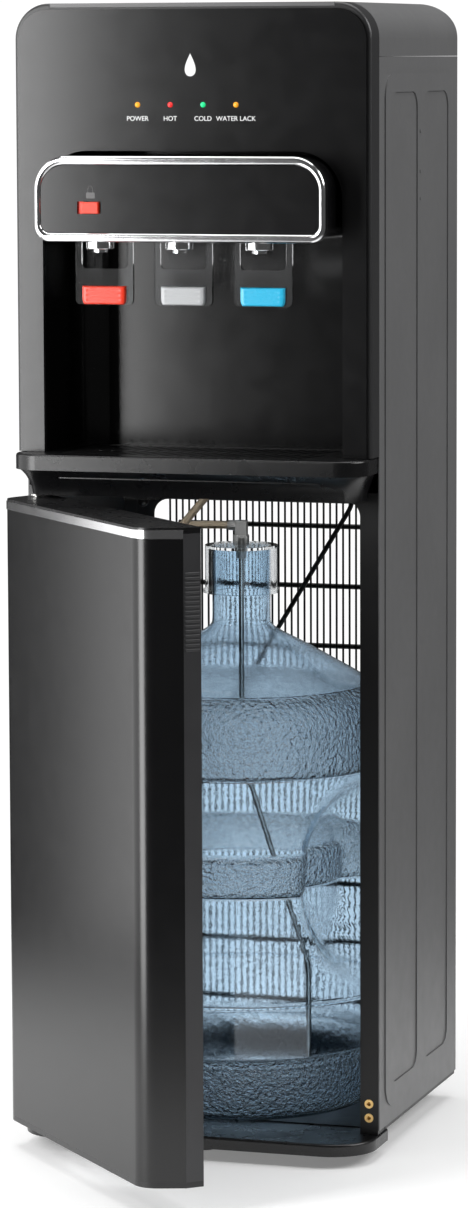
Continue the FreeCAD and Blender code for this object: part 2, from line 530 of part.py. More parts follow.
def taps():
    """Three taps side by side: valve body, bright nozzle, sprung paddle on a pin, and its push pad."""
    pins, springs, nozzles, bodies = [], [], [], []
    body_bottom = POD_BOTTOM + WALL + 3.0
    for i, name in enumerate(TAP_NAMES):
        x = TAP_CENTRE + (i - 1) * TAP_PITCH
        skirt_bottom = POD_BOTTOM - 6.5
        nozzle = rod(NOZZLE_R, V(x, NOZZLE_Y, skirt_bottom), V(x, NOZZLE_Y, body_bottom))
        nozzle = nozzle.fuse(rod(6.5, V(x, NOZZLE_Y, skirt_bottom - 2.8), V(x, NOZZLE_Y, skirt_bottom)))
        nozzle = nozzle.makeFillet(1.2, [e for e in nozzle.Edges if abs(e.BoundBox.ZMax - skirt_bottom) < 0.05
                                         and e.BoundBox.XLength > 20])
        nozzles.append(nozzle.cut(rod(4.0, V(x, NOZZLE_Y, skirt_bottom - 5), V(x, NOZZLE_Y, body_bottom + 1))))
        body = rod(VALVE_R, V(x, NOZZLE_Y, body_bottom), V(x, NOZZLE_Y, 858.0))
        body = body.fuse(rod(5.0, V(x, NOZZLE_Y, 846.0), V(x, NICHE_BACK + 14, 846.0)))
        body = body.cut(rod(3.0, V(x, NOZZLE_Y, 846.0), V(x, NICHE_BACK + 20, 846.0)))
        body = body.cut(rod(4.0, V(x, NOZZLE_Y, body_bottom - 1), V(x, NOZZLE_Y, 848.0)))
        bodies.append(body)

        y0, y1 = LEVER_Y - LEVER_T / 2, LEVER_Y + LEVER_T / 2
        plate_shape = plate(rect(x - LEVER_HALF, x + LEVER_HALF, LEVER_BOTTOM, 824.0), [5.0, 5.0, 0, 0],
                            "XZ", y0, LEVER_T)
        window = plate(rect(x - LEVER_WINDOW, x + LEVER_WINDOW, 787.0, 830.0), [5.0, 5.0, 0, 0],
                       "XZ", y0 - 1, LEVER_T + 2)
        lever = plate_shape.cut(window)
        for side in (-1, 1):
            cheek = x + side * (LEVER_HALF + LEVER_WINDOW) / 2
            w = (LEVER_HALF - LEVER_WINDOW) / 2
            boss = rod(5.0, V(cheek - w, LEVER_PIVOT.y, LEVER_PIVOT.z), V(cheek + w, LEVER_PIVOT.y, LEVER_PIVOT.z))
            arm = box(cheek - w, cheek + w, y0, LEVER_PIVOT.y, 820.0, LEVER_PIVOT.z)
            lever = lever.fuse(boss).fuse(arm)
        axis_a = V(x - LEVER_HALF - 3, LEVER_PIVOT.y, LEVER_PIVOT.z)
        axis_b = V(x + LEVER_HALF + 3, LEVER_PIVOT.y, LEVER_PIVOT.z)
        lever = lever.cut(rod(LEVER_PIN_R + RUN, axis_a, axis_b))
        add("lever_" + name, lever.removeSplitter())
        pad_top = LEVER_BOTTOM + 16.5
        pad = plate(rect(x - 20.2, x + 20.2, LEVER_BOTTOM + 0.3, pad_top), [3.0, 3.0, 5.0, 5.0],
                    "XZ", y0 - 3.5, 3.5)
        pad = pad.makeFillet(1.0, [e for e in pad.Edges if e.BoundBox.YMax < y0 - 3.4])
        add("pad_" + name, pad)

        pin = rod(LEVER_PIN_R, axis_a, axis_b)
        for end, out in ((axis_a, -1), (axis_b, 1)):
            pin = pin.fuse(box(min(end.x, end.x + out * 3), max(end.x, end.x + out * 3), LEVER_PIVOT.y - 4,
                               LEVER_PIVOT.y + 4, POD_BOTTOM + 1.2 + WALL, LEVER_PIVOT.z + 4))
        pins.append(pin.removeSplitter())
        axis_y, axis_z = LEVER_PIVOT.y, LEVER_PIVOT.z
        coil = [Part.makeTorus(LEVER_PIN_R + 0.5, 0.5, V(x + 14.2 + 1.3 * k, axis_y, axis_z), V(1, 0, 0))
                for k in range(4)]
        stem = box(x + 13.8, x + 18.5, axis_y + 2.4, axis_y + 3.0, axis_z - 0.4, axis_z + 0.4)
        spring = coil[0].fuse(coil[1:] + [stem])
        springs.append(spring)
    add("tap_nozzles", group(nozzles))
    add("tap_valves", group(bodies))
    add("lever_hinges", group(pins + springs))


# ---------------------------------------------------------------- door
def door_outline(inset):
    """Plan of the shut door's front shell, drawn in by inset: flat front, sloping sides."""
    rim_y = DOOR_BACK - DOOR_RIM
    slope = DOOR_INSET / (rim_y - DOOR_FRONT)
    half = HALF - inset * math.hypot(1, slope)
    front_half = half - DOOR_INSET + inset * slope
    front_y = DOOR_FRONT + inset
    points = [(-front_half, front_y), (front_half, front_y), (half, rim_y), (-half, rim_y)]
    corner = max(DOOR_CORNER - inset, 3.0)
    return points, [corner, corner, 0, 0]


def swing(shape):
    """Turn a piece of the shut door to its open rest pose."""
    turned = shape.copy()
    turned.rotate(HINGE, V(0, 0, 1), -DOOR_OPEN)
    return turned


def door():
    """Swing door: outer shell, end caps, inner liner tray, bright strip and magnet, turned open."""
    cap = 5.0
    rim_y = DOOR_BACK - DOOR_RIM
    heel_r = 18.2
    points, radii = door_outline(0.0)
    inner_points, inner_radii = door_outline(DOOR_WALL)
    shell_z0, shell_h = DOOR_BOTTOM + cap, DOOR_TOP - DOOR_BOTTOM - 2 * cap
    shell = plate(points, radii, "XY", shell_z0, shell_h)
    shell = shell.cut(plate(inner_points, inner_radii, "XY", shell_z0 - 1, shell_h + 2))
    hollow_half = HALF - 16.0
    shell = shell.cut(box(-hollow_half, hollow_half, rim_y - DOOR_WALL - 2, rim_y + 5, shell_z0 - 1, DOOR_TOP))

    heel_cut = box(-HALF - 5, HINGE.x, HINGE.y, 5.0, 0.0, 700.0)
    heel_cut = heel_cut.cut(rod(heel_r, V(HINGE.x, HINGE.y, 0.0), V(HINGE.x, HINGE.y, 700.0)))
    pin_hole = rod(HINGE_PIN_R + RUN, V(HINGE.x, HINGE.y, 0.0), V(HINGE.x, HINGE.y, 700.0))

    def end_cap(z0):
        """End plate of the door with the hinge hole in it."""
        front = plate(points, radii, "XY", z0, cap)
        rear = box(-HALF, HALF, rim_y, DOOR_BACK, z0, z0 + cap)
        return front.fuse(rear).removeSplitter().cut(heel_cut).cut(pin_hole)

    boss_r = 7.0
    bottle_room = rod(BOTTLE_R + 3.0, V(BOTTLE.x, BOTTLE.y, 0.0), V(BOTTLE.x, BOTTLE.y, DOOR_BOTTOM + cap + 14))
    caps = [swing(end_cap(DOOR_BOTTOM).cut(bottle_room)), swing(end_cap(DOOR_TOP - cap))]
    add("door_end_caps", group(caps))
    add("door_shell", swing(shell))

    tray_half = HALF - 24.0
    tray_y = DOOR_FRONT + 8.0
    z0, z1 = DOOR_BOTTOM + cap, DOOR_TOP - cap
    rim = box(-HALF, HALF, rim_y, DOOR_BACK, z0, z1).cut(heel_cut)
    tray = box(-tray_half - 2, tray_half + 2, tray_y, rim_y, z0 + 10, z1 - 10)
    liner = rim.fuse(tray).cut(box(-tray_half, tray_half, tray_y + 2, 5.0, z0 + 12, z1 - 12))
    core = box(-HALF + 3, HALF - 3, rim_y - 1, DOOR_BACK - 2, z0 + 3, z1 - 3)
    core = core.cut(box(-tray_half - 2, tray_half + 2, rim_y - 5, DOOR_BACK + 1, z0 + 10, z1 - 10))
    core = core.cut(rod(boss_r, V(HINGE.x, HINGE.y, 0.0), V(HINGE.x, HINGE.y, 700.0)))
    heel_core = box(-HALF - 5, HINGE.x, HINGE.y, 5.0, 0.0, 700.0)
    heel_core = heel_core.cut(rod(heel_r - 2.5, V(HINGE.x, HINGE.y, 0.0), V(HINGE.x, HINGE.y, 700.0)))
    liner = liner.cut(core.cut(heel_core)).cut(pin_hole).cut(bottle_room)
    add("door_liner", swing(liner.removeSplitter()))

    strip_top = DOOR_TOP - 1.6
    strip = plate(points, radii, "XY", strip_top - 7.4, 7.4)
    out_points, out_radii = door_outline(-0.7)
    band = plate(out_points, out_radii, "XY", strip_top - 7.4, 7.4).cut(strip)
    band = band.cut(box(-200, 200, rim_y - 2.0, 5, 0, 700))
    add("door_strip", swing(band))

    top_pin = rod(HINGE_PIN_R, V(HINGE.x, HINGE.y, DOOR_TOP - cap - 7), V(HINGE.x, HINGE.y, SHELF_BOTTOM))
    top_pin = top_pin.fuse(rod(6.0, V(HINGE.x, HINGE.y, SHELF_BOTTOM - 1.5), V(HINGE.x, HINGE.y, SHELF_BOTTOM)))
    low_pin = rod(HINGE_PIN_R, V(HINGE.x, HINGE.y, PLINTH_TOP), V(HINGE.x, HINGE.y, DOOR_BOTTOM + cap + 7))
    low_pin = low_pin.fuse(rod(6.0, V(HINGE.x, HINGE.y, PLINTH_TOP), V(HINGE.x, HINGE.y, DOOR_BOTTOM - FIT)))
    add("hinge_pins", group([top_pin.removeSplitter(), low_pin.removeSplitter()]))


# ---------------------------------------------------------------- bottle bay
def bottle():
    """Blow-moulded bottle with raised bands, the probe collar on its neck, fitting and suction tube."""
    r, z = BOTTLE_R, BOTTLE.z
    outer = [(0, z + 8), (84, z + 8), (100, z), (118, z + 3), (130, z + 14), (r - 1, z + 34), (r - 1, z + 48),
             (r - 4, z + 52), (r - 1, z + 58), (r, z + 68), (r, z + 104), (r - 4, z + 112), (r - 4, z + 200),
             (r, z + 208), (r, z + 236), (r - 5, z + 244), (r - 5, z + 306), (r, z + 314), (r, z + 358),
             (r - 8, z + 374), (r - 27, z + 389), (64, z + 415), (34, z + 431), (NECK_R, NECK_BOTTOM + 3),
             (NECK_R, COLLAR_TOP - 3.2)]
    inner = [(max(a - BOTTLE_WALL, 0), b + (BOTTLE_WALL if b < z + 20 else 0)) for a, b in outer]
    profile = outer + [(NECK_R - BOTTLE_WALL, COLLAR_TOP - 3.2)] + inner[-2::-1]
    profile[0] = (0, z + 8)
    add("water_bottle", revolve(profile, BOTTLE))

    c = BOTTLE
    collar = tube(COLLAR_R, NECK_R + 0.6, V(c.x, c.y, COLLAR_BOTTOM), V(c.x, c.y, COLLAR_TOP - 3.0))
    cap = tube(COLLAR_R, 5.0, V(c.x, c.y, COLLAR_TOP - 3.0), V(c.x, c.y, COLLAR_TOP))
    collar = collar.fuse(cap).removeSplitter()
    bead = tube(COLLAR_R + 1.5, COLLAR_R - 1, V(c.x, c.y, COLLAR_BOTTOM), V(c.x, c.y, COLLAR_BOTTOM + 3))
    add("probe_collar", collar.fuse(bead).removeSplitter())
    tube_r = 2.4
    fit_top = 553.0
    fitting = rod(7.3, V(c.x, c.y, COLLAR_TOP), V(c.x, c.y, COLLAR_TOP + 9))
    fitting = fitting.fuse(rod(6.2, V(c.x, c.y, COLLAR_TOP + 9), V(c.x, c.y, fit_top)))
    fitting = fitting.fuse(rod(4.6, V(c.x, c.y, ELBOW_Z), V(c.x - 12, c.y, ELBOW_Z)))
    fitting = fitting.fuse(rod(4.8, V(c.x, c.y, COLLAR_TOP - 12), V(c.x, c.y, COLLAR_TOP)))
    fitting = fitting.cut(rod(tube_r, V(c.x, c.y, COLLAR_TOP - 20), V(c.x, c.y, COLLAR_TOP + 6)))
    add("probe_fitting", fitting.removeSplitter())
    top, bend_top = V(c.x, c.y, COLLAR_TOP + 6), V(c.x, c.y, 338.0)
    bend_low, foot = V(c.x + PROBE_REACH, c.y, 146.0), V(c.x + PROBE_REACH, c.y, 44.0)
    add("suction_tube", pipe([top, bend_top, bend_low, foot], tube_r, 0.1)[0])


ELBOW_Z = 548.5
HOSE_R = 3.5
HOSE_ROUTE = [V(-12.0, 116.0, ELBOW_Z), V(-39.0, 116.0, ELBOW_Z), V(-65.0, 103.0, 547.0), V(-73.0, 75.0, 545.0),
              V(-61.0, 50.0, 541.0), V(-37.0, 44.0, 549.0), V(-22.0, 45.5, 568.0), V(-6.7, 49.0, 586.0)]


def report_radii(points, share=0.45):
    """Print each bend radius of a hose route."""
    for i in range(1, len(points) - 1):
        before, after = points[i] - points[i - 1], points[i + 1] - points[i]
        turn = before.getAngle(after)
        radius = share * min(before.Length, after.Length) / math.tan(turn / 2)
        print("bend %d: turn %.0f deg, radius %.1f mm" % (i, math.degrees(turn), radius))


def feed_hose():
    """Silicone hose from the bottle's elbow up to the fitting in the deck."""
    shape, length = pipe(HOSE_ROUTE, HOSE_R)
    report_radii(HOSE_ROUTE)
    print("feed hose length %.1f mm, volume ratio %.4f" % (length, shape.Volume / (math.pi * HOSE_R ** 2 * length)))
    add("feed_hose", shape)
    end = HOSE_ROUTE[-1]
    deck_top = DECK_Z + DECK_T
    spigot_z = deck_top + HOSE_CHANNEL / 2
    nipple = rod(6.0, end, V(end.x, end.y, deck_top))
    nipple = nipple.fuse(rod(9.0, V(end.x, end.y, DECK_Z - 2), V(end.x, end.y, DECK_Z)))
    nipple = nipple.fuse(rod(3.2, V(end.x, end.y, deck_top - 1), V(end.x, end.y, spigot_z)))
    nipple = nipple.fuse(rod(3.8, V(end.x, end.y - 4.2, spigot_z), V(end.x, NICHE_BACK + 3, spigot_z)))
    add("deck_fitting", nipple.removeSplitter())


def bay_fittings():
    """Door switch with its domed plunger under the deck."""
    x, y = -68.0, 40.0
    block = box(x - 15, x + 15, y - 11, y + 11, DECK_Z - 12, DECK_Z)
    dome = rod(5.0, V(x, y, DECK_Z - 14), V(x, y, DECK_Z - 12)).fuse(Part.makeSphere(5.0, V(x, y, DECK_Z - 14)))
    dome = dome.cut(box(x - 9, x + 9, y - 9, y + 9, DECK_Z - 12, DECK_Z + 20))
    add("door_switch", block.fuse(dome).removeSplitter())


# ---------------------------------------------------------------- cooling circuit
def condenser():
    """Wire-on-tube condenser: a serpentine of nine runs, upright wires, brackets and the riser pipe."""
    bend = COND_PITCH / 2
    edges = []
    runs = [COND_TOP_RUN - k * COND_PITCH for k in range(COND_RUNS)]
    for k, z in enumerate(runs):
        side = 1 if k % 2 == 0 else -1
        edges.append(Part.LineSegment(V(-side * COND_HALF, COND_Y, z), V(side * COND_HALF, COND_Y, z)).toShape())
        if k + 1 < COND_RUNS:
            middle = V(side * (COND_HALF + bend), COND_Y, z - bend)
            edges.append(Part.Arc(V(side * COND_HALF, COND_Y, z), middle,
                                  V(side * COND_HALF, COND_Y, z - COND_PITCH)).toShape())
    path = Part.Wire(edges)
    ring = Part.Wire([Part.makeCircle(COND_TUBE_R, V(-COND_HALF, COND_Y, runs[0]), V(1, 0, 0))])
    serpentine = path.makePipeShell([ring], True, False)

    wire_y = COND_Y - COND_TUBE_R - WIRE_R
    z0, z1 = runs[-1] - 10.0, runs[0] + 24.0
    wires = []
    for i in range(WIRES):
        x = (i - (WIRES - 1) / 2) * WIRE_PITCH
        wires.append(rod(WIRE_R, V(x, wire_y, z0), V(x, wire_y, z1)))
    add("condenser_wires", group(wires))

    clips = []
    for k, side in ((0, 1), (6, 1), (1, -1), (5, -1)):
        z = runs[k] - bend
        x = side * (COND_HALF + bend)
        clips.append(box(x - 5, x + 5, SIDE_DEPTH, COND_Y - COND_TUBE_R, z - 6, z + 6))
    add("condenser_tube", group([serpentine] + clips))

    riser_y = SIDE_DEPTH + 4.5
    route = [V(64.0, SIDE_DEPTH - 16, 575.0), V(64.0, riser_y, 575.0), V(60.0, riser_y, 553.0),
             V(-11.2, riser_y, 437.5), V(-84.0, riser_y, 319.0), V(-92.0, riser_y, 280.0), V(-92.0, riser_y, 75.0)]
    add("riser_pipe", pipe(route, 2.2, 0.3)[0])


def upper_bay():
    """Inside the upper cabinet: compressor, tanks, pump, boards and the hoses between them."""
    deck = DECK_Z + DECK_T
    cx, cy = 84.0, 190.0
    mounts, base_z = [], deck + 9.0
    foot = box(cx - 62, cx + 62, cy - 52, cy + 52, base_z, base_z + 3.0)
    for sx in (-52.0, 52.0):
        for sy in (-42.0, 42.0):
            mounts.append(tube(8.0, 3.0, V(cx + sx, cy + sy, deck), V(cx + sx, cy + sy, base_z)))
    pot = rod(54.0, V(cx, cy, base_z + 3), V(cx, cy, base_z + 128))
    pot = pot.makeFillet(24.0, [e for e in pot.Edges if e.BoundBox.ZMin > base_z + 120])
    seam = tube(57.0, 50.0, V(cx, cy, base_z + 60), V(cx, cy, base_z + 64))
    add("compressor", foot.fuse([pot, seam] + mounts).removeSplitter())

    hx, hy = -96.0, 184.0
    tank_r, tank_h, tank_z = 42.0, 130.0, deck + 10.0
    tank = rod(tank_r, V(hx, hy, tank_z), V(hx, hy, tank_z + tank_h))
    tank = tank.makeFillet(10.0, [e for e in tank.Edges if e.BoundBox.ZMin > tank_z + 100])
    tank = tank.cut(rod(tank_r - 1.2, V(hx, hy, tank_z + 1.2), V(hx, hy, tank_z + tank_h - 12)))
    for x in (hx - 12, hx + 12):
        tank = tank.fuse(rod(4.0, V(x, hy, tank_z + 0.6), V(x, hy, tank_z + 70)))
    add("hot_tank", tank.fuse(box(hx - 14, hx + 14, hy - 4, hy + 4, tank_z + 66, tank_z + 72)).removeSplitter())
    jacket = tube(tank_r + 12, tank_r + FIT, V(hx, hy, deck), V(hx, hy, tank_z + tank_h - 10))
    jacket = jacket.fuse(rod(tank_r + 12, V(hx, hy, deck), V(hx, hy, tank_z)))
    add("hot_tank_jacket", jacket.removeSplitter())

    tx, ty = COLD_TANK.x, COLD_TANK.y
    fx0, fx1, fy0, fy1, fz0, fz1 = tx - 68.0, tx + 68.0, ty - 72.0, ty + 72.0, 764.0, 948.0
    cold_r, coil_r, coil_wire = 50.0, 53.0, 3.0
    foam_half = box(fx0, fx1, fy0, fy1, fz0, fz1).cut(rod(coil_r + coil_wire + 1.0, V(tx, ty, fz0 + 14),
                                                         V(tx, ty, fz1 - 14)))
    foam_half = foam_half.cut(rod(6.0, V(tx, ty, fz0 - 2), V(tx, ty, fz0 + 20)))
    add("cold_tank_foam", foam_half)
    cold = rod(cold_r, V(tx, ty, fz0 + 14), V(tx, ty, fz1 - 18))
    cold = cold.cut(rod(cold_r - 1.2, V(tx, ty, fz0 + 15.2), V(tx, ty, fz1 - 19.2)))
    cold = cold.fuse(tube(5.0, 3.5, V(tx, ty, fz0 + 1), V(tx, ty, fz0 + 14)))
    rings = [Part.makeTorus(coil_r, coil_wire - 0.05, V(tx, ty, fz0 + 40 + 12 * k)) for k in range(8)]
    link = box(tx + coil_r - 1.2, tx + coil_r + 1.2, ty - 1.2, ty + 1.2, fz0 + 40, fz0 + 40 + 84)
    link = link.fuse(box(tx + cold_r - 1, tx + coil_r, ty - 1.2, ty + 1.2, fz0 + 80, fz0 + 84))
    add("cold_tank", cold.fuse(rings + [link]).removeSplitter())

    px, py = -9.0, 124.0
    pump = box(px - 21, px + 21, py, py + 28, deck + 6, deck + 48)
    pump = pump.fuse(rod(17.0, V(px, py + 28, deck + 27), V(px, py + 76, deck + 27)))
    pump = pump.fuse(rod(4.0, V(INLET.x, py - 10, deck + 12), V(INLET.x, py, deck + 12)))
    pump = pump.fuse(rod(4.0, V(px + 11, py + 14, deck + 48), V(px + 11, py + 14, deck + 56)))
    pump = pump.fuse(box(px - 25, px + 25, py - 2, py + 80, deck, deck + 6))
    add("water_pump", pump.removeSplitter())

    board = box(-INNER + 10, -INNER + 11.6, 96.0, 206.0, 790.0, 930.0)
    for y, z, h in ((110.0, 810.0, 16.0), (140.0, 820.0, 12.0), (170.0, 880.0, 20.0), (120.0, 880.0, 9.0)):
        board = board.fuse(box(-INNER + 11.6, -INNER + 11.6 + h, y, y + 22, z, z + 26))
    for y in (102.0, 200.0):
        for z in (796.0, 924.0):
            board = board.fuse(rod(3.0, V(-INNER, y, z), V(-INNER + 10, y, z)))
    return board.removeSplitter()


def water_hoses():
    """Water hoses: deck fitting to pump, pump to cold tank, and each tank to its tap."""
    deck = DECK_Z + DECK_T
    tail = NICHE_BACK + 14.0
    x_hot, x_ambient, x_cold = (TAP_CENTRE + (i - 1) * TAP_PITCH for i in range(3))
    hose_r = 4.0
    spigot_z = deck + HOSE_CHANNEL / 2
    supply = [V(INLET.x, NICHE_BACK + 3, spigot_z), V(INLET.x, 90.0, spigot_z), V(INLET.x, 103.0, deck + 12),
              V(INLET.x, 114.0, deck + 12)]
    tank = COLD_TANK
    rising = [V(2.0, 138.0, deck + 56), V(2.0, 138.0, 690.0), V(tank.x, tank.y, 725.0), V(tank.x, tank.y, 765.0)]
    hot = [V(x_hot, tail, 846.0), V(x_hot, tail + 14, 846.0), V(-92.0, 190.0, 780.0), V(-92.0, 190.0, deck + 140.0)]
    solids = [pipe(supply, hose_r - 0.4)[0], pipe(rising, hose_r)[0], pipe(hot, hose_r)[0]]
    for x in (x_ambient, x_cold):
        solids.append(rod(hose_r, V(x, tail, 846.0), V(x, 100.0, 846.0)))
    add("water_hoses", group(solids))


def services():
    """Rear services: power inlet, three rocker switches and the drain with its screw cap."""
    y0 = SIDE_DEPTH
    inlet = box(-113.5, -86.5, y0 - 22, y0 + 0.0, 622.0, 642.0)
    flange = box(-117.0, -83.0, y0, y0 + 2.0, 618.5, 645.5)
    inlet = inlet.fuse(flange)
    inlet = inlet.cut(box(-112.0, -88.0, y0 - 16, y0 + 3, 624.0, 640.0))
    for dx in (-7.0, 0.0, 7.0):
        inlet = inlet.fuse(box(-100 + dx - 1, -100 + dx + 1, y0 - 17, y0 - 2, 629.5, 634.5))
    add("power_inlet", inlet.removeSplitter())
    frames = []
    for i, name in enumerate(("power", "hot", "cold")):
        x = -100.0 + 30.0 * i
        z = 920.0
        body = box(x - 10.5, x + 10.5, y0 - 16, y0, z - 7.5, z + 7.5)
        body = body.fuse(box(x - 12.5, x + 12.5, y0, y0 + 1.5, z - 9.5, z + 9.5))
        body = body.cut(box(x - 9.0, x + 9.0, y0 - 12, y0 + 5, z - 6.0, z + 6.0))
        frames.append(body)
        axle = V(x, y0 - 3.0, z)
        rocker = rod(5.2, V(x - 8.7, axle.y, z), V(x + 8.7, axle.y, z))
        rocker = rocker.cut(box(x - 9, x + 9, axle.y - 6, axle.y - 2.4, z - 6, z + 6))
        wings = plate([(axle.y - 1.0, z - 5.2), (axle.y + 4.6, z - 5.2), (axle.y + 3.2, z), (axle.y + 4.6, z + 5.2),
                       (axle.y - 1.0, z + 5.2)], [0] * 5, "YZ", x - 8.7, 17.4)
        rocker = wings.cut(rod(1.5 + RUN, V(x - 9, axle.y, z), V(x + 9, axle.y, z)))
        rocker.rotate(axle, V(1, 0, 0), 7.0)
        add("rocker_" + name, rocker)
        frames[-1] = frames[-1].fuse(rod(1.5, V(x - 9.2, axle.y, z), V(x + 9.2, axle.y, z)))
    add("switch_bodies", group([f.removeSplitter() for f in frames]))
    dx, dz = -30.0, 625.0
    spout = tube(8.0, 5.0, V(dx, y0 - 20, dz), V(dx, y0 + 14, dz)).fuse(tube(12.0, 8.0, V(dx, y0, dz), V(dx, y0 + 2, dz)))
    add("drain_spout", spout.removeSplitter())
    cap = rod(11.0, V(dx, y0 + 3, dz), V(dx, y0 + 17, dz)).cut(rod(8.3, V(dx, y0 + 2, dz), V(dx, y0 + 14.3, dz)))
    add("drain_cap", cap.fuse(rod(4.7, V(dx, y0 + 6, dz), V(dx, y0 + 14.5, dz))).removeSplitter())


def main():
    """Build every sub-part and write one STEP file each."""
    plinth()
    feet()
    lower_frame()
    side_panel(-1, "side_panel_left")
    side_panel(1, "side_panel_right")
    rear_panel()
    decks()
    lid()
    front_frame()
    boards = [fascia()]
    niche()
    drip_shelf()
    tap_pod()
    taps()
    door()
    bottle()
    feed_hose()
    bay_fittings()
    condenser()
    boards.append(upper_bay())
    add("circuit_boards", group(boards))
    services()
    water_hoses()
    for name, shape in NODES.items():
        if not shape.isValid():
            print("INVALID", name)
        shape.exportStep("parts/" + name + ".step")
    print(len(NODES), "nodes")


main()
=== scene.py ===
"""Looks of the floor-standing bottle-bay water dispenser: finishes, detailed pieces, light and camera.

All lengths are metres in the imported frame: +Z up, -Y towards the user, X = 0 the cabinet's middle plane.
"""

import logging
import math
from dataclasses import dataclass, field
from enum import Enum

import bpy
import numpy as np
from mathutils import Matrix, Vector

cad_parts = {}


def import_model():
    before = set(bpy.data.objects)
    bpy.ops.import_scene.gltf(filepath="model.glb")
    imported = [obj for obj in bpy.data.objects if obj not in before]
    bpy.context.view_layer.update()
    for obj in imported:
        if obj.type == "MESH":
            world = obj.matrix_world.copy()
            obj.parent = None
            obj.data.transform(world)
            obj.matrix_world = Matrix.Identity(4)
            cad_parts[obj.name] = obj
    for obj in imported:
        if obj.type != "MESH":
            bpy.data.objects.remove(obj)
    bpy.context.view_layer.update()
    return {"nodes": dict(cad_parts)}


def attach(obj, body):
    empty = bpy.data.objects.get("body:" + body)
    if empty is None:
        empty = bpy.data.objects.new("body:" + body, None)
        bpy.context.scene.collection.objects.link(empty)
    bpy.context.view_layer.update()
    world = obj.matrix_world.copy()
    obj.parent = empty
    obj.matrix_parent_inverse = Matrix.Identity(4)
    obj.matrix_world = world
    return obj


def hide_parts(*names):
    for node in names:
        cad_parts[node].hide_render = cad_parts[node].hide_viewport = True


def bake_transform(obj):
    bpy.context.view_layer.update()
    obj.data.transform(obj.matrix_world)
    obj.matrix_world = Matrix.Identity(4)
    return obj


LOG = logging.getLogger("dispenser")
MM = 0.001


# ------------------------------------------------------------------ finishes
class Texture(Enum):
    """Surface relief that a finish carries."""

    FINE_GRAIN = "fine moulded grain"
    ORANGE_PEEL = "powder coat orange peel"
    BRUSHED = "drawn along one axis"
    STIPPLE = "hammered bands of a blown bottle"
    FOAM = "open cells"
    PLAIN = "polished with faint waviness"


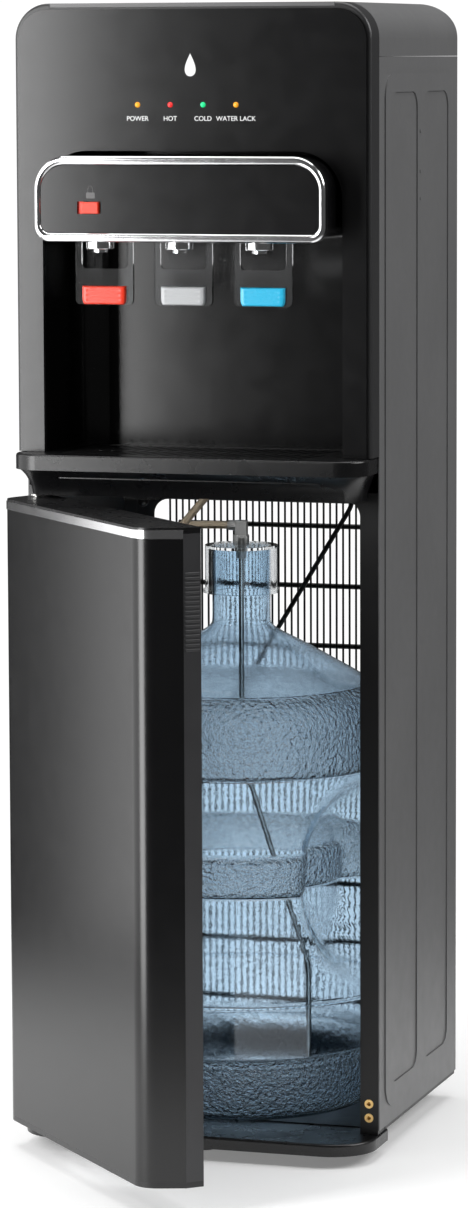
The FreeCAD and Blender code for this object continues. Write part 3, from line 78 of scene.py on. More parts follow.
@dataclass(frozen=True)
class Finish:
    """One surface finish, built as a procedural material.

    The base colour drifts between two tints of itself over cloudy noise, the roughness does the same over a
    finer noise, and a bump pattern chosen by ``texture`` gives the relief.
    """

    name: str
    color: tuple[float, float, float]
    roughness: float = 0.4
    metallic: float = 0.0
    texture: Texture = Texture.FINE_GRAIN
    drift: float = 0.12
    relief: float = 0.05
    scale: float = 900.0
    coat: float = 0.0
    transmission: float = 0.0
    ior: float = 1.5
    alpha: float = 1.0
    depth: float = 0.0006
    stretch: tuple[float, float, float] = (1.0, 1.0, 1.0)
    glow: float = 0.0
    density: float = 0.0

    def material(self) -> bpy.types.Material:
        """Build the material once and return it.

        Returns:
            The material of this finish.
        """
        known = bpy.data.materials.get(self.name)
        if known is not None:
            return known
        mat = bpy.data.materials.new(self.name)
        mat.use_nodes = True
        nodes, links = mat.node_tree.nodes, mat.node_tree.links
        shader = nodes["Principled BSDF"]
        shader.inputs["Metallic"].default_value = self.metallic
        shader.inputs["Coat Weight"].default_value = self.coat
        shader.inputs["Coat Roughness"].default_value = 0.08
        shader.inputs["Transmission Weight"].default_value = self.transmission
        shader.inputs["IOR"].default_value = self.ior
        shader.inputs["Alpha"].default_value = self.alpha
        coords = nodes.new("ShaderNodeTexCoord")
        mapping = nodes.new("ShaderNodeMapping")
        mapping.inputs["Scale"].default_value = self.stretch
        links.new(coords.outputs["Object"], mapping.inputs["Vector"])

        cloud = nodes.new("ShaderNodeTexNoise")
        cloud.inputs["Scale"].default_value = 7.0
        cloud.inputs["Detail"].default_value = 3.0
        links.new(mapping.outputs["Vector"], cloud.inputs["Vector"])
        tint = nodes.new("ShaderNodeValToRGB")
        low = [c * (1.0 - self.drift) for c in self.color]
        high = [min(c * (1.0 + self.drift), 1.0) for c in self.color]
        tint.color_ramp.elements[0].position = 0.3
        tint.color_ramp.elements[0].color = (*low, 1.0)
        tint.color_ramp.elements[1].position = 0.7
        tint.color_ramp.elements[1].color = (*high, 1.0)
        links.new(cloud.outputs["Fac"], tint.inputs["Fac"])
        links.new(tint.outputs["Color"], shader.inputs["Base Color"])

        fine = nodes.new("ShaderNodeTexNoise")
        fine.inputs["Scale"].default_value = 60.0
        fine.inputs["Detail"].default_value = 2.0
        links.new(mapping.outputs["Vector"], fine.inputs["Vector"])
        rough = nodes.new("ShaderNodeMapRange")
        rough.inputs["To Min"].default_value = max(self.roughness * 0.85, 0.01)
        rough.inputs["To Max"].default_value = min(self.roughness * 1.15, 1.0)
        links.new(fine.outputs["Fac"], rough.inputs["Value"])
        links.new(rough.outputs["Result"], shader.inputs["Roughness"])

        height = self._height(nodes, links, mapping)
        bump = nodes.new("ShaderNodeBump")
        bump.inputs["Strength"].default_value = self.relief
        bump.inputs["Distance"].default_value = self.depth
        links.new(height, bump.inputs["Height"])
        links.new(bump.outputs["Normal"], shader.inputs["Normal"])
        if self.glow > 0.0:
            shader.inputs["Emission Color"].default_value = (*self.color, 1.0)
            shader.inputs["Emission Strength"].default_value = self.glow
        if self.density > 0.0:
            dye = nodes.new("ShaderNodeVolumeAbsorption")
            dye.inputs["Color"].default_value = (0.10, 0.42, 0.78, 1.0)
            dye.inputs["Density"].default_value = self.density
            links.new(dye.outputs["Volume"], nodes["Material Output"].inputs["Volume"])
        return mat

    def _height(self, nodes: bpy.types.Nodes, links: bpy.types.NodeLinks,
                mapping: bpy.types.Node) -> bpy.types.NodeSocket:
        """Make the relief pattern.

        Args:
            nodes: The material's nodes.
            links: The material's links.
            mapping: Where the pattern's coordinates come from.

        Returns:
            The socket that carries the height.
        """
        if self.texture is Texture.FOAM:
            cells = nodes.new("ShaderNodeTexVoronoi")
            cells.inputs["Scale"].default_value = self.scale
            links.new(mapping.outputs["Vector"], cells.inputs["Vector"])
            return cells.outputs["Distance"]
        noise = nodes.new("ShaderNodeTexNoise")
        noise.inputs["Scale"].default_value = self.scale
        noise.inputs["Detail"].default_value = 2.0 if self.texture is Texture.ORANGE_PEEL else 4.0
        if self.texture is Texture.BRUSHED:
            drawn = nodes.new("ShaderNodeMapping")
            drawn.inputs["Scale"].default_value = (1.0, 1.0, 0.02)
            links.new(mapping.outputs["Vector"], drawn.inputs["Vector"])
            links.new(drawn.outputs["Vector"], noise.inputs["Vector"])
        else:
            links.new(mapping.outputs["Vector"], noise.inputs["Vector"])
        if self.texture is not Texture.STIPPLE:
            return noise.outputs["Fac"]
        return self._banded(nodes, links, noise)

    @staticmethod
    def _banded(nodes: bpy.types.Nodes, links: bpy.types.NodeLinks,
                noise: bpy.types.Node) -> bpy.types.NodeSocket:
        """Keep the stipple to three bands of height, and leave the rest smooth.

        Args:
            nodes: The material's nodes.
            links: The material's links.
            noise: The stipple itself.

        Returns:
            The stipple times a ramp over Z that is one inside the bands and very small outside them.
        """
        coords = nodes.new("ShaderNodeTexCoord")
        split = nodes.new("ShaderNodeSeparateXYZ")
        links.new(coords.outputs["Object"], split.inputs["Vector"])
        scaled = nodes.new("ShaderNodeMath")
        scaled.operation = "MULTIPLY"
        scaled.inputs[1].default_value = 2.0
        links.new(split.outputs["Z"], scaled.inputs[0])
        ramp = nodes.new("ShaderNodeValToRGB")
        bands = ((0.034, 0.080), (0.232, 0.262), (0.338, 0.402))
        elements = ramp.color_ramp.elements
        faint = 0.012
        elements[0].position, elements[0].color = 0.0, (faint, faint, faint, 1.0)
        elements[1].position, elements[1].color = 1.0, (faint, faint, faint, 1.0)
        for low, high in bands:
            for place, value in ((low - 0.004, faint), (low, 1.0), (high, 1.0), (high + 0.004, faint)):
                element = elements.new(min(place * 2.0, 0.999))
                element.color = (value, value, value, 1.0)
        links.new(scaled.outputs["Value"], ramp.inputs["Fac"])
        product = nodes.new("ShaderNodeMath")
        product.operation = "MULTIPLY"
        links.new(noise.outputs["Fac"], product.inputs[0])
        links.new(ramp.outputs["Color"], product.inputs[1])
        return product.outputs["Value"]


SATIN_BLACK = Finish("satin_black_front", (0.0035, 0.0035, 0.0038), 0.20, relief=0.02, scale=2200.0)
DOOR_BLACK = Finish("satin_black_door", (0.0030, 0.0030, 0.0033), 0.22, relief=0.02, scale=2200.0)
NICHE_BLACK = Finish("niche_black", (0.002, 0.002, 0.0022), 0.17, relief=0.03, scale=1800.0)
BLACK_PLASTIC = Finish("black_moulding", (0.004, 0.004, 0.0045), 0.28, relief=0.10, scale=1600.0)
GRILLE_BLACK = Finish("grille_black", (0.006, 0.006, 0.0065), 0.36, relief=0.06, scale=1600.0)
GREY_COAT = Finish("grey_powder_coat", (0.125, 0.125, 0.127), 0.42, texture=Texture.ORANGE_PEEL, relief=0.10,
                   scale=700.0, drift=0.05)
GREY_MOULDING = Finish("grey_moulding", (0.125, 0.125, 0.127), 0.36, relief=0.08, scale=1500.0, drift=0.05)
FRAME_MOULDING = Finish("dark_surround", (0.022, 0.022, 0.023), 0.36, relief=0.08, scale=1500.0, drift=0.05)
LINER_GREY = Finish("liner_grey", (0.030, 0.030, 0.032), 0.45, relief=0.10, scale=1500.0)
FRAME_BLACK = Finish("bay_frame_black", (0.006, 0.006, 0.0065), 0.42, relief=0.10, scale=1500.0)
CHROME = Finish("bright_chrome", (0.80, 0.80, 0.81), 0.16, metallic=1.0, texture=Texture.PLAIN, drift=0.02,
                relief=0.01, scale=90.0)
BRASS = Finish("turned_brass", (0.75, 0.50, 0.20), 0.28, metallic=1.0, texture=Texture.BRUSHED, relief=0.2,
               scale=2500.0)
ZINC = Finish("galvanised_sheet", (0.50, 0.51, 0.52), 0.38, metallic=0.9, texture=Texture.ORANGE_PEEL, drift=0.18,
              relief=0.08, scale=60.0)
STEEL = Finish("drawn_steel", (0.62, 0.62, 0.60), 0.22, metallic=1.0, texture=Texture.BRUSHED, relief=0.12,
               scale=2500.0)
WIRE_BLACK = Finish("black_enamel", (0.010, 0.010, 0.010), 0.40, texture=Texture.ORANGE_PEEL, relief=0.08,
                    scale=900.0)
COPPER = Finish("copper_pipe", (0.40, 0.20, 0.11), 0.35, metallic=1.0, texture=Texture.BRUSHED, relief=0.1,
                scale=1800.0)
BOTTLE_BLUE = Finish("blue_bottle", (0.75, 0.865, 0.945), 0.04, texture=Texture.STIPPLE, drift=0.02, relief=1.0,
                     scale=260.0, transmission=1.0, ior=1.45, depth=0.004, density=60.0)
CLEAR = Finish("clear_moulding", (0.90, 0.93, 0.95), 0.05, texture=Texture.PLAIN, drift=0.02, relief=0.05,
               scale=120.0, transmission=1.0, ior=1.2)
SMOKED = Finish("clear_lever", (0.90, 0.91, 0.92), 0.04, texture=Texture.PLAIN, drift=0.02, relief=0.03,
                scale=120.0, transmission=1.0, ior=1.46)
WHITE_FITTING = Finish("white_fitting", (0.86, 0.86, 0.85), 0.30, relief=0.06, scale=1500.0, drift=0.04,
                       transmission=0.55, ior=1.3)
SILICONE = Finish("silicone_hose", (0.78, 0.66, 0.50), 0.30, texture=Texture.PLAIN, drift=0.06, relief=0.06,
                  scale=200.0, transmission=0.6, ior=1.3)
RED = Finish("red_moulding", (0.72, 0.040, 0.015), 0.28, relief=0.04, scale=1500.0, drift=0.05)
PAD_GREY = Finish("grey_pad", (0.42, 0.43, 0.44), 0.28, relief=0.04, scale=1500.0, drift=0.04)
CYAN = Finish("cyan_moulding", (0.030, 0.46, 0.72), 0.28, relief=0.04, scale=1500.0, drift=0.05)
FOAM = Finish("expanded_foam", (0.80, 0.76, 0.62), 0.85, texture=Texture.FOAM, relief=0.5, scale=260.0)
BOARD = Finish("varnished_board", (0.03, 0.17, 0.06), 0.30, relief=0.2, scale=900.0)
AMBER = Finish("amber_lens", (0.90, 0.36, 0.02), 0.18, texture=Texture.PLAIN, relief=0.02, scale=200.0, glow=0.5)
LENS_RED = Finish("red_lens", (0.85, 0.03, 0.03), 0.18, texture=Texture.PLAIN, relief=0.02, scale=200.0, glow=0.5)
LENS_GREEN = Finish("green_lens", (0.02, 0.70, 0.25), 0.18, texture=Texture.PLAIN, relief=0.02, scale=200.0, glow=0.5)
PRINT_GREY = Finish("grey_print", (0.10, 0.10, 0.10), 0.5, relief=0.03, scale=1500.0, drift=0.03)
PRINT_WHITE = Finish("white_print", (0.78, 0.78, 0.78), 0.5, relief=0.03, scale=1500.0, drift=0.03)
FLOOR_WHITE = Finish("pale_floor", (0.86, 0.86, 0.86), 0.7, relief=0.02, scale=300.0, drift=0.01, glow=0.22)


# ------------------------------------------------------------------ mesh making
def dress(obj: bpy.types.Object, finish: Finish) -> None:
    """Give every slot of an object one finish."""
    obj.data.materials.clear()
    obj.data.materials.append(finish.material())


def new_piece(name: str, verts: np.ndarray, quads: np.ndarray, finish: Finish, body: str,
              caps: tuple[tuple[int, ...], ...] = (), sharp: float = 40.0) -> bpy.types.Object:
    """Make a dressed mesh piece that rides on a body.

    Args:
        name: The piece's name.
        verts: Points, one row each.
        quads: Four point numbers in each row.
        finish: Its finish.
        body: The body that it rides on.
        caps: Extra many-sided faces.
        sharp: Edges sharper than this many degrees stay crisp.

    Returns:
        The object, with its place in its mesh.
    """
    mesh = bpy.data.meshes.new(name)
    mesh.from_pydata(verts.reshape(-1, 3).tolist(), [], quads.tolist() + [list(c) for c in caps])
    mesh.polygons.foreach_set("use_smooth", np.ones(len(mesh.polygons), dtype=bool))
    mesh.update()
    mesh.set_sharp_from_angle(angle=math.radians(sharp))
    obj = bpy.data.objects.new(name, mesh)
    bpy.context.scene.collection.objects.link(obj)
    dress(obj, finish)
    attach(obj, body)
    return obj


def grid_quads(rows: int, cols: int, wrap: bool) -> np.ndarray:
    """Number the quads of a grid of points stored row after row.

    Args:
        rows: How many rows of points.
        cols: Points in a row.
        wrap: Whether each row closes on itself.

    Returns:
        One row of four point numbers per quad.
    """
    span = cols if wrap else cols - 1
    i, j = np.meshgrid(np.arange(rows - 1), np.arange(span), indexing="ij")
    after = (j + 1) % cols
    quads = np.stack([i * cols + j, i * cols + after, (i + 1) * cols + after, (i + 1) * cols + j], axis=-1)
    return quads.reshape(-1, 4)


def rounded(corners: np.ndarray, radii: np.ndarray, steps: int = 14) -> np.ndarray:
    """Round a closed outline: each corner becomes the arc that touches both its sides.

    Args:
        corners: The outline's corners in order, (n, 2).
        radii: The radius at each corner; nought leaves it sharp, as ``steps`` points in one place.
        steps: Points on each arc.

    Returns:
        The outline's points, (n * steps, 2).
    """
    before = np.roll(corners, 1, axis=0) - corners
    after = np.roll(corners, -1, axis=0) - corners
    before /= np.linalg.norm(before, axis=1, keepdims=True)
    after /= np.linalg.norm(after, axis=1, keepdims=True)
    half = 0.5 * np.arccos(np.clip((before * after).sum(axis=1), -1.0, 1.0))
    inward = before + after
    inward /= np.linalg.norm(inward, axis=1, keepdims=True)
    r = np.maximum(radii, 1e-6)
    centres = corners + inward * (r / np.sin(half))[:, None]
    first = corners + before * (r / np.tan(half))[:, None] - centres
    last = corners + after * (r / np.tan(half))[:, None] - centres
    start = np.arctan2(first[:, 1], first[:, 0])
    sweep = np.arctan2(last[:, 1], last[:, 0]) - start
    sweep = (sweep + np.pi) % (2 * np.pi) - np.pi
    share = np.linspace(0.0, 1.0, steps)
    angle = start[:, None] + sweep[:, None] * share[None, :]
    ring = np.stack([np.cos(angle), np.sin(angle)], axis=-1) * r[:, None, None]
    return (centres[:, None, :] + ring).reshape(-1, 2)


def offset(outline: np.ndarray, distance: float) -> np.ndarray:
    """Move a closed outline sideways along its point normals, to the right of its direction when positive."""
    along = np.roll(outline, -1, axis=0) - np.roll(outline, 1, axis=0)
    length = np.maximum(np.linalg.norm(along, axis=1, keepdims=True), 1e-9)
    normal = np.stack([along[:, 1], -along[:, 0]], axis=1) / length
    return outline + normal * distance


def fix_normals(obj: bpy.types.Object, merge: float = 1e-6) -> None:
    """Merge doubled points and make all faces of a closed piece point outwards.

    Args:
        obj: The piece.
        merge: Points nearer than this become one.
    """
    import bmesh
    bm = bmesh.new()
    bm.from_mesh(obj.data)
    bmesh.ops.remove_doubles(bm, verts=bm.verts, dist=merge)
    bmesh.ops.dissolve_degenerate(bm, dist=merge, edges=bm.edges)
    bmesh.ops.recalc_face_normals(bm, faces=bm.faces)
    bm.to_mesh(obj.data)
    bm.free()
    obj.data.update()


class Plane(Enum):
    """The plane that an outline lies in, and which axis it grows along."""

    XY = "XY"
    XZ = "XZ"


def prism(name: str, outline: np.ndarray, low: float, high: float, plane: Plane, finish: Finish, body: str,
          edge: float = 0.0, front_only: bool = False) -> bpy.types.Object:
    """Solid slab with a rounded rim: rings of the outline, drawn in by a quarter circle at each end.

    Args:
        name: The piece's name.
        outline: Closed outline, anticlockwise in its plane, metres.
        low: Where the slab starts along its growing axis.
        high: Where it ends.
        plane: The outline's plane.
        finish: Its finish.
        body: The body that it rides on.
        edge: Radius of the rounded rim.
        front_only: Round the low end alone.

    Returns:
        The piece.
    """
    turn = np.linspace(0.0, np.pi / 2, 5) if edge > 0 else np.zeros(1)
    drop, pull = edge * (1 - np.sin(turn)), edge * (1 - np.cos(turn))
    levels = [(low + edge - edge * np.sin(t), -(edge - edge * np.cos(t))) for t in turn[::-1]]
    if front_only:
        levels.append((high, 0.0))
    else:
        levels += [(high - edge + edge * np.sin(t), -(edge - edge * np.cos(t))) for t in turn]
    del drop, pull
    rings = []
    for level, inset in levels:
        flat = offset(outline, inset)
        axis = np.full((len(flat), 1), level)
        rings.append(np.hstack([flat, axis]) if plane is Plane.XY
                     else np.hstack([flat[:, :1], axis, flat[:, 1:]]))
    count = len(outline)
    verts = np.concatenate(rings)
    quads = grid_quads(len(rings), count, True)
    caps = (tuple(range(count)), tuple(range(len(verts) - count, len(verts))))
    obj = new_piece(name, verts, quads, finish, body, caps)
    fix_normals(obj)
    obj.data.set_sharp_from_angle(angle=math.radians(40))
    return obj


def revolve(name: str, profile: np.ndarray, centre: tuple[float, float], finish: Finish, body: str,
            segments: int = 96) -> bpy.types.Object:
    """Surface of revolution: each profile point (radius, height) goes round the vertical line at the centre."""
    angle = np.linspace(0.0, 2 * np.pi, segments, endpoint=False)
    x = centre[0] + profile[:, :1] * np.cos(angle)[None, :]
    y = centre[1] + profile[:, :1] * np.sin(angle)[None, :]
    z = np.repeat(profile[:, 1:], segments, axis=1)
    verts = np.stack([x, y, z], axis=-1)
    obj = new_piece(name, verts, grid_quads(len(profile), segments, True), finish, body)
    fix_normals(obj)
    return obj


def smooth_profile(points: list[tuple[float, float]], per_span: int = 6) -> np.ndarray:
    """Catmull-Rom curve through profile points, with centripetal-like clamped ends."""
    p = np.asarray(points, dtype=float)
    ext = np.vstack([2 * p[0] - p[1], p, 2 * p[-1] - p[-2]])
    t = np.linspace(0.0, 1.0, per_span, endpoint=False)[:, None]
    spans = []
    for i in range(1, len(ext) - 2):
        a, b, c, d = ext[i - 1], ext[i], ext[i + 1], ext[i + 2]
        spans.append(0.5 * (2 * b + (c - a) * t + (2 * a - 5 * b + 4 * c - d) * t ** 2
                            + (3 * b - a - 3 * c + d) * t ** 3))
    return np.vstack(spans + [p[-1:]])


def tube_along(path: np.ndarray, radius: float, sides: int = 12) -> tuple[np.ndarray, np.ndarray]:
    """Round bar along a path, with rings carried by parallel transport.

    Args:
        path: Points of the middle line, (n, 3).
        radius: The bar's radius.
        sides: Points in each ring.

    Returns:
        Its points and its quads.
    """
    tangent = np.gradient(path, axis=0)
    tangent /= np.linalg.norm(tangent, axis=1, keepdims=True)
    up = np.array([0.0, 0.0, 1.0]) if abs(tangent[0][2]) < 0.9 else np.array([1.0, 0.0, 0.0])
    side = np.cross(tangent[0], up)
    frames = []
    for step in tangent:
        side = side - step * float(side @ step)
        side /= np.linalg.norm(side)
        frames.append(side.copy())
    a = np.asarray(frames)
    b = np.cross(tangent, a)
    angle = np.linspace(0.0, 2 * np.pi, sides, endpoint=False)
    ring = a[:, None, :] * np.cos(angle)[None, :, None] + b[:, None, :] * np.sin(angle)[None, :, None]
    return path[:, None, :] + ring * radius, grid_quads(len(path), sides, True)


# ------------------------------------------------------------------ door
@dataclass
class SwingDoor:
    """The open door: outer shell, bright strip and the finger ribs on its free edge."""

    half: float = 162.5
    front: float = -52.0
    back: float = -1.5
    rim: float = 16.0
    inset: float = 16.0
    corner: float = 21.0
    bottom: float = 25.0
    top: float = 583.5
    cap: float = 5.0
    hinge: tuple[float, float] = (-147.0, -19.0)
    angle: float = 47.5
    body: str = "door"

    def _swing(self, obj: bpy.types.Object) -> None:
        """Turn a mesh built in the shut pose to the open rest pose, in its own points."""
        pivot = Vector((self.hinge[0] * MM, self.hinge[1] * MM, 0.0))
        turn = (Matrix.Translation(pivot) @ Matrix.Rotation(-math.radians(self.angle), 4, "Z")
                @ Matrix.Translation(-pivot))
        obj.data.transform(turn)

    def _front_outline(self, grow: float) -> np.ndarray:
        """Plan of the shut shell's outside, from the free edge round the front to the hinge edge, in metres."""
        rim_y = self.back - self.rim
        pts = np.array([[self.half, rim_y], [-self.half, rim_y], [-self.half + self.inset, self.front],
                        [self.half - self.inset, self.front]])
        ring = rounded(pts, np.array([0.0, 0.0, self.corner, self.corner]), 24)
        return offset(ring, grow) * MM if grow else ring * MM

    def shell(self) -> None:
        """Outer shell: the plan outline carried upwards, hollowed behind so the bottle has room."""
        rim_y, room, recess = self.back - self.rim, self.half - 16.0, 6.0
        corners = np.array([[self.half, rim_y], [room, rim_y], [room, rim_y - recess], [-room, rim_y - recess],
                            [-room, rim_y], [-self.half, rim_y], [-self.half + self.inset, self.front],
                            [self.half - self.inset, self.front]])
        outline = rounded(corners, np.array([0.0] * 6 + [self.corner] * 2), 24) * MM
        obj = prism("door_outer_shell", outline, (self.bottom + self.cap) * MM, (self.top - self.cap) * MM,
                    Plane.XY, DOOR_BLACK, self.body)
        self._swing(obj)
        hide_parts("door_shell")

    def build(self) -> None:
        """Add the door's pieces: its bright strip and finger ribs."""
        strip = self._front_outline(0.0)
        inner, outer = offset(strip, -0.1 * MM), offset(strip, 0.7 * MM)
        low, high = (self.top - 9.4) * MM, (self.top - 1.6) * MM
        count = len(strip)
        keep = np.append(np.arange(24, count), 0)
        ring_in, ring_out = inner[keep], outer[keep]
        loop = []
        for flat, z in ((ring_in, low), (ring_out, low + 0.4 * MM), (ring_out, high - 0.4 * MM), (ring_in, high)):
            loop.append(np.hstack([flat, np.full((len(flat), 1), z)]))
        verts = np.stack(loop, axis=1)
        obj = new_piece("door_bright_strip", verts, grid_quads(len(ring_in), 4, True), CHROME, self.body)
        fix_normals(obj)
        self._swing(obj)
        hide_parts("door_strip")
        self._ribs()
        LOG.info("door dressed")

    def _ribs(self) -> None:
        """Row of finger ribs on the free edge of the liner: half-round bars across its flat side."""
        count, pitch, top = 17, 4.0, 545.0
        turn = np.linspace(0.0, np.pi, 7)
        profile = np.stack([np.sin(turn) * 0.7, np.cos(turn) * 1.3], axis=1)
        rows = []
        quads = []
        ends = np.array([self.back - self.rim + 1.5, self.back - 1.5])
        for k in range(count):
            z = top - k * pitch
            bar = np.zeros((2, len(profile), 3))
            bar[..., 0] = self.half + profile[None, :, 0]
            bar[..., 1] = ends[:, None]
            bar[..., 2] = z + profile[None, :, 1]
            quads.append(grid_quads(2, len(profile), True) + k * 2 * len(profile))
            rows.append(bar.reshape(-1, 3))
        obj = new_piece("door_finger_ribs", np.concatenate(rows) * MM, np.concatenate(quads), LINER_GREY, self.body)
        fix_normals(obj)
        self._swing(obj)


# ------------------------------------------------------------------ bottle
@dataclass
class BayBottle:
    """Blown water bottle with its feed hose."""

    centre: tuple[float, float] = (0.0, 116.0)
    floor: float = 23.0
    radius: float = 134.0
    wall: float = 1.4
    neck: float = 26.5
    body: str = "bottle"

    def build(self) -> None:
        """Blow the bottle: an outer profile and the same profile one wall inside, both turned round the axis."""
        z, r = self.floor, self.radius
        points = [(2, z + 9), (60, z + 8), (84, z + 6), (98, z + 0.6), (108, z + 0.4), (121, z + 6), (130, z + 16),
                  (r - 1, z + 30), (r - 1, z + 47), (r - 3.6, z + 52), (r - 1, z + 57), (r, z + 64), (r, z + 84),
                  (r, z + 104), (r - 3.4, z + 109), (r - 4, z + 116), (r - 4, z + 150), (r - 4, z + 200),
                  (r - 3.4, z + 206), (r, z + 211), (r, z + 223), (r, z + 236), (r - 4.4, z + 241),
                  (r - 5, z + 248), (r - 5, z + 275), (r - 5, z + 304), (r - 4.4, z + 310), (r, z + 315),
                  (r, z + 335), (r, z + 358), (r - 4, z + 370), (r - 12, z + 380), (r - 26, z + 390),
                  (r - 47, z + 402), (66, z + 414), (47, z + 424), (34, z + 431), (28, z + 436),
                  (self.neck, z + 442), (self.neck, z + 470), (self.neck, z + 504.6)]
        outer = smooth_profile(points, 5)
        along = np.gradient(outer, axis=0)
        along /= np.maximum(np.linalg.norm(along, axis=1, keepdims=True), 1e-9)
        inner = outer - np.stack([along[:, 1], -along[:, 0]], axis=1) * self.wall
        inner[:, 0] = np.maximum(inner[:, 0], 0.6)
        profile = np.vstack([outer, inner[::-1]]) * MM
        closed = np.vstack([profile, profile[:1]])
        obj = revolve("blown_bottle", closed, (self.centre[0] * MM, self.centre[1] * MM), BOTTLE_BLUE, self.body, 192)
        self._grip(obj)
        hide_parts("water_bottle")
        LOG.info("bottle built")

    def _grip(self, obj: bpy.types.Object) -> None:
        """Press the hand grip into the bottle's side: a smooth oval recess about one direction and height."""
        middle, half_turn, level, half_height, depth = math.radians(-17.0), math.radians(34.0), 0.236, 0.096, 0.040
        verts = np.empty(len(obj.data.vertices) * 3)
        obj.data.vertices.foreach_get("co", verts)
        verts = verts.reshape(-1, 3)
        flat = verts[:, :2] - np.array(self.centre) * MM
        radius = np.linalg.norm(flat, axis=1)
        turn = (np.arctan2(flat[:, 1], flat[:, 0]) - middle) / half_turn
        reach = np.sqrt(turn ** 2 + ((verts[:, 2] - level) / half_height) ** 2)
        share = np.clip((1.0 - reach) / 0.45, 0.0, 1.0)
        press = depth * share * share * (3.0 - 2.0 * share) * (radius > 0.5 * self.radius * MM)
        verts[:, :2] -= flat / np.maximum(radius, 1e-6)[:, None] * press[:, None]
        obj.data.vertices.foreach_set("co", verts.ravel())
        obj.data.update()

    def hose(self) -> None:
        """Feed hose: a smooth tube on the spline of the route, from the elbow up to the deck."""
        route = ((-12.0, 116.0, 548.5), (-39.0, 116.0, 548.5), (-65.0, 103.0, 547.0), (-73.0, 75.0, 545.0),
                 (-61.0, 50.0, 541.0), (-37.0, 44.0, 549.0), (-22.0, 45.5, 568.0), (-6.7, 49.0, 586.0))
        curve = bpy.data.curves.new("hose_line", "CURVE")
        curve.dimensions = "3D"
        curve.resolution_u = 24
        spline = curve.splines.new("NURBS")
        spline.points.add(len(route) - 1)
        for point, place in zip(spline.points, route):
            point.co = (*(v * MM for v in place), 1.0)
        spline.order_u = 3
        spline.use_endpoint_u = True
        line = bpy.data.objects.new("hose_line", curve)
        bpy.context.scene.collection.objects.link(line)
        mesh = bpy.data.meshes.new_from_object(line.evaluated_get(bpy.context.evaluated_depsgraph_get()))
        path = np.array([v.co[:] for v in mesh.vertices])
        bpy.data.objects.remove(line)
        bpy.data.meshes.remove(mesh)
        if np.linalg.norm(path[0] - np.array(route[0]) * MM) > 0.005:
            path = path[::-1]
        verts, quads = tube_along(path, 3.5 * MM, 20)
        name = "silicone_feed_hose"
        mesh = bpy.data.meshes.new(name)
        count = len(path) * 20
        caps = [tuple(range(20)), tuple(range(count - 20, count))]
        mesh.from_pydata(verts.reshape(-1, 3).tolist(), [], quads.tolist() + [list(c) for c in caps])
        mesh.polygons.foreach_set("use_smooth", np.ones(len(mesh.polygons), dtype=bool))
        obj = bpy.data.objects.new(name, mesh)
        bpy.context.scene.collection.objects.link(obj)
        fix_normals(obj)
        obj.data.set_sharp_from_angle(angle=math.radians(50))
        dress(obj, SILICONE)
        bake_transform(obj)
        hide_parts("feed_hose")


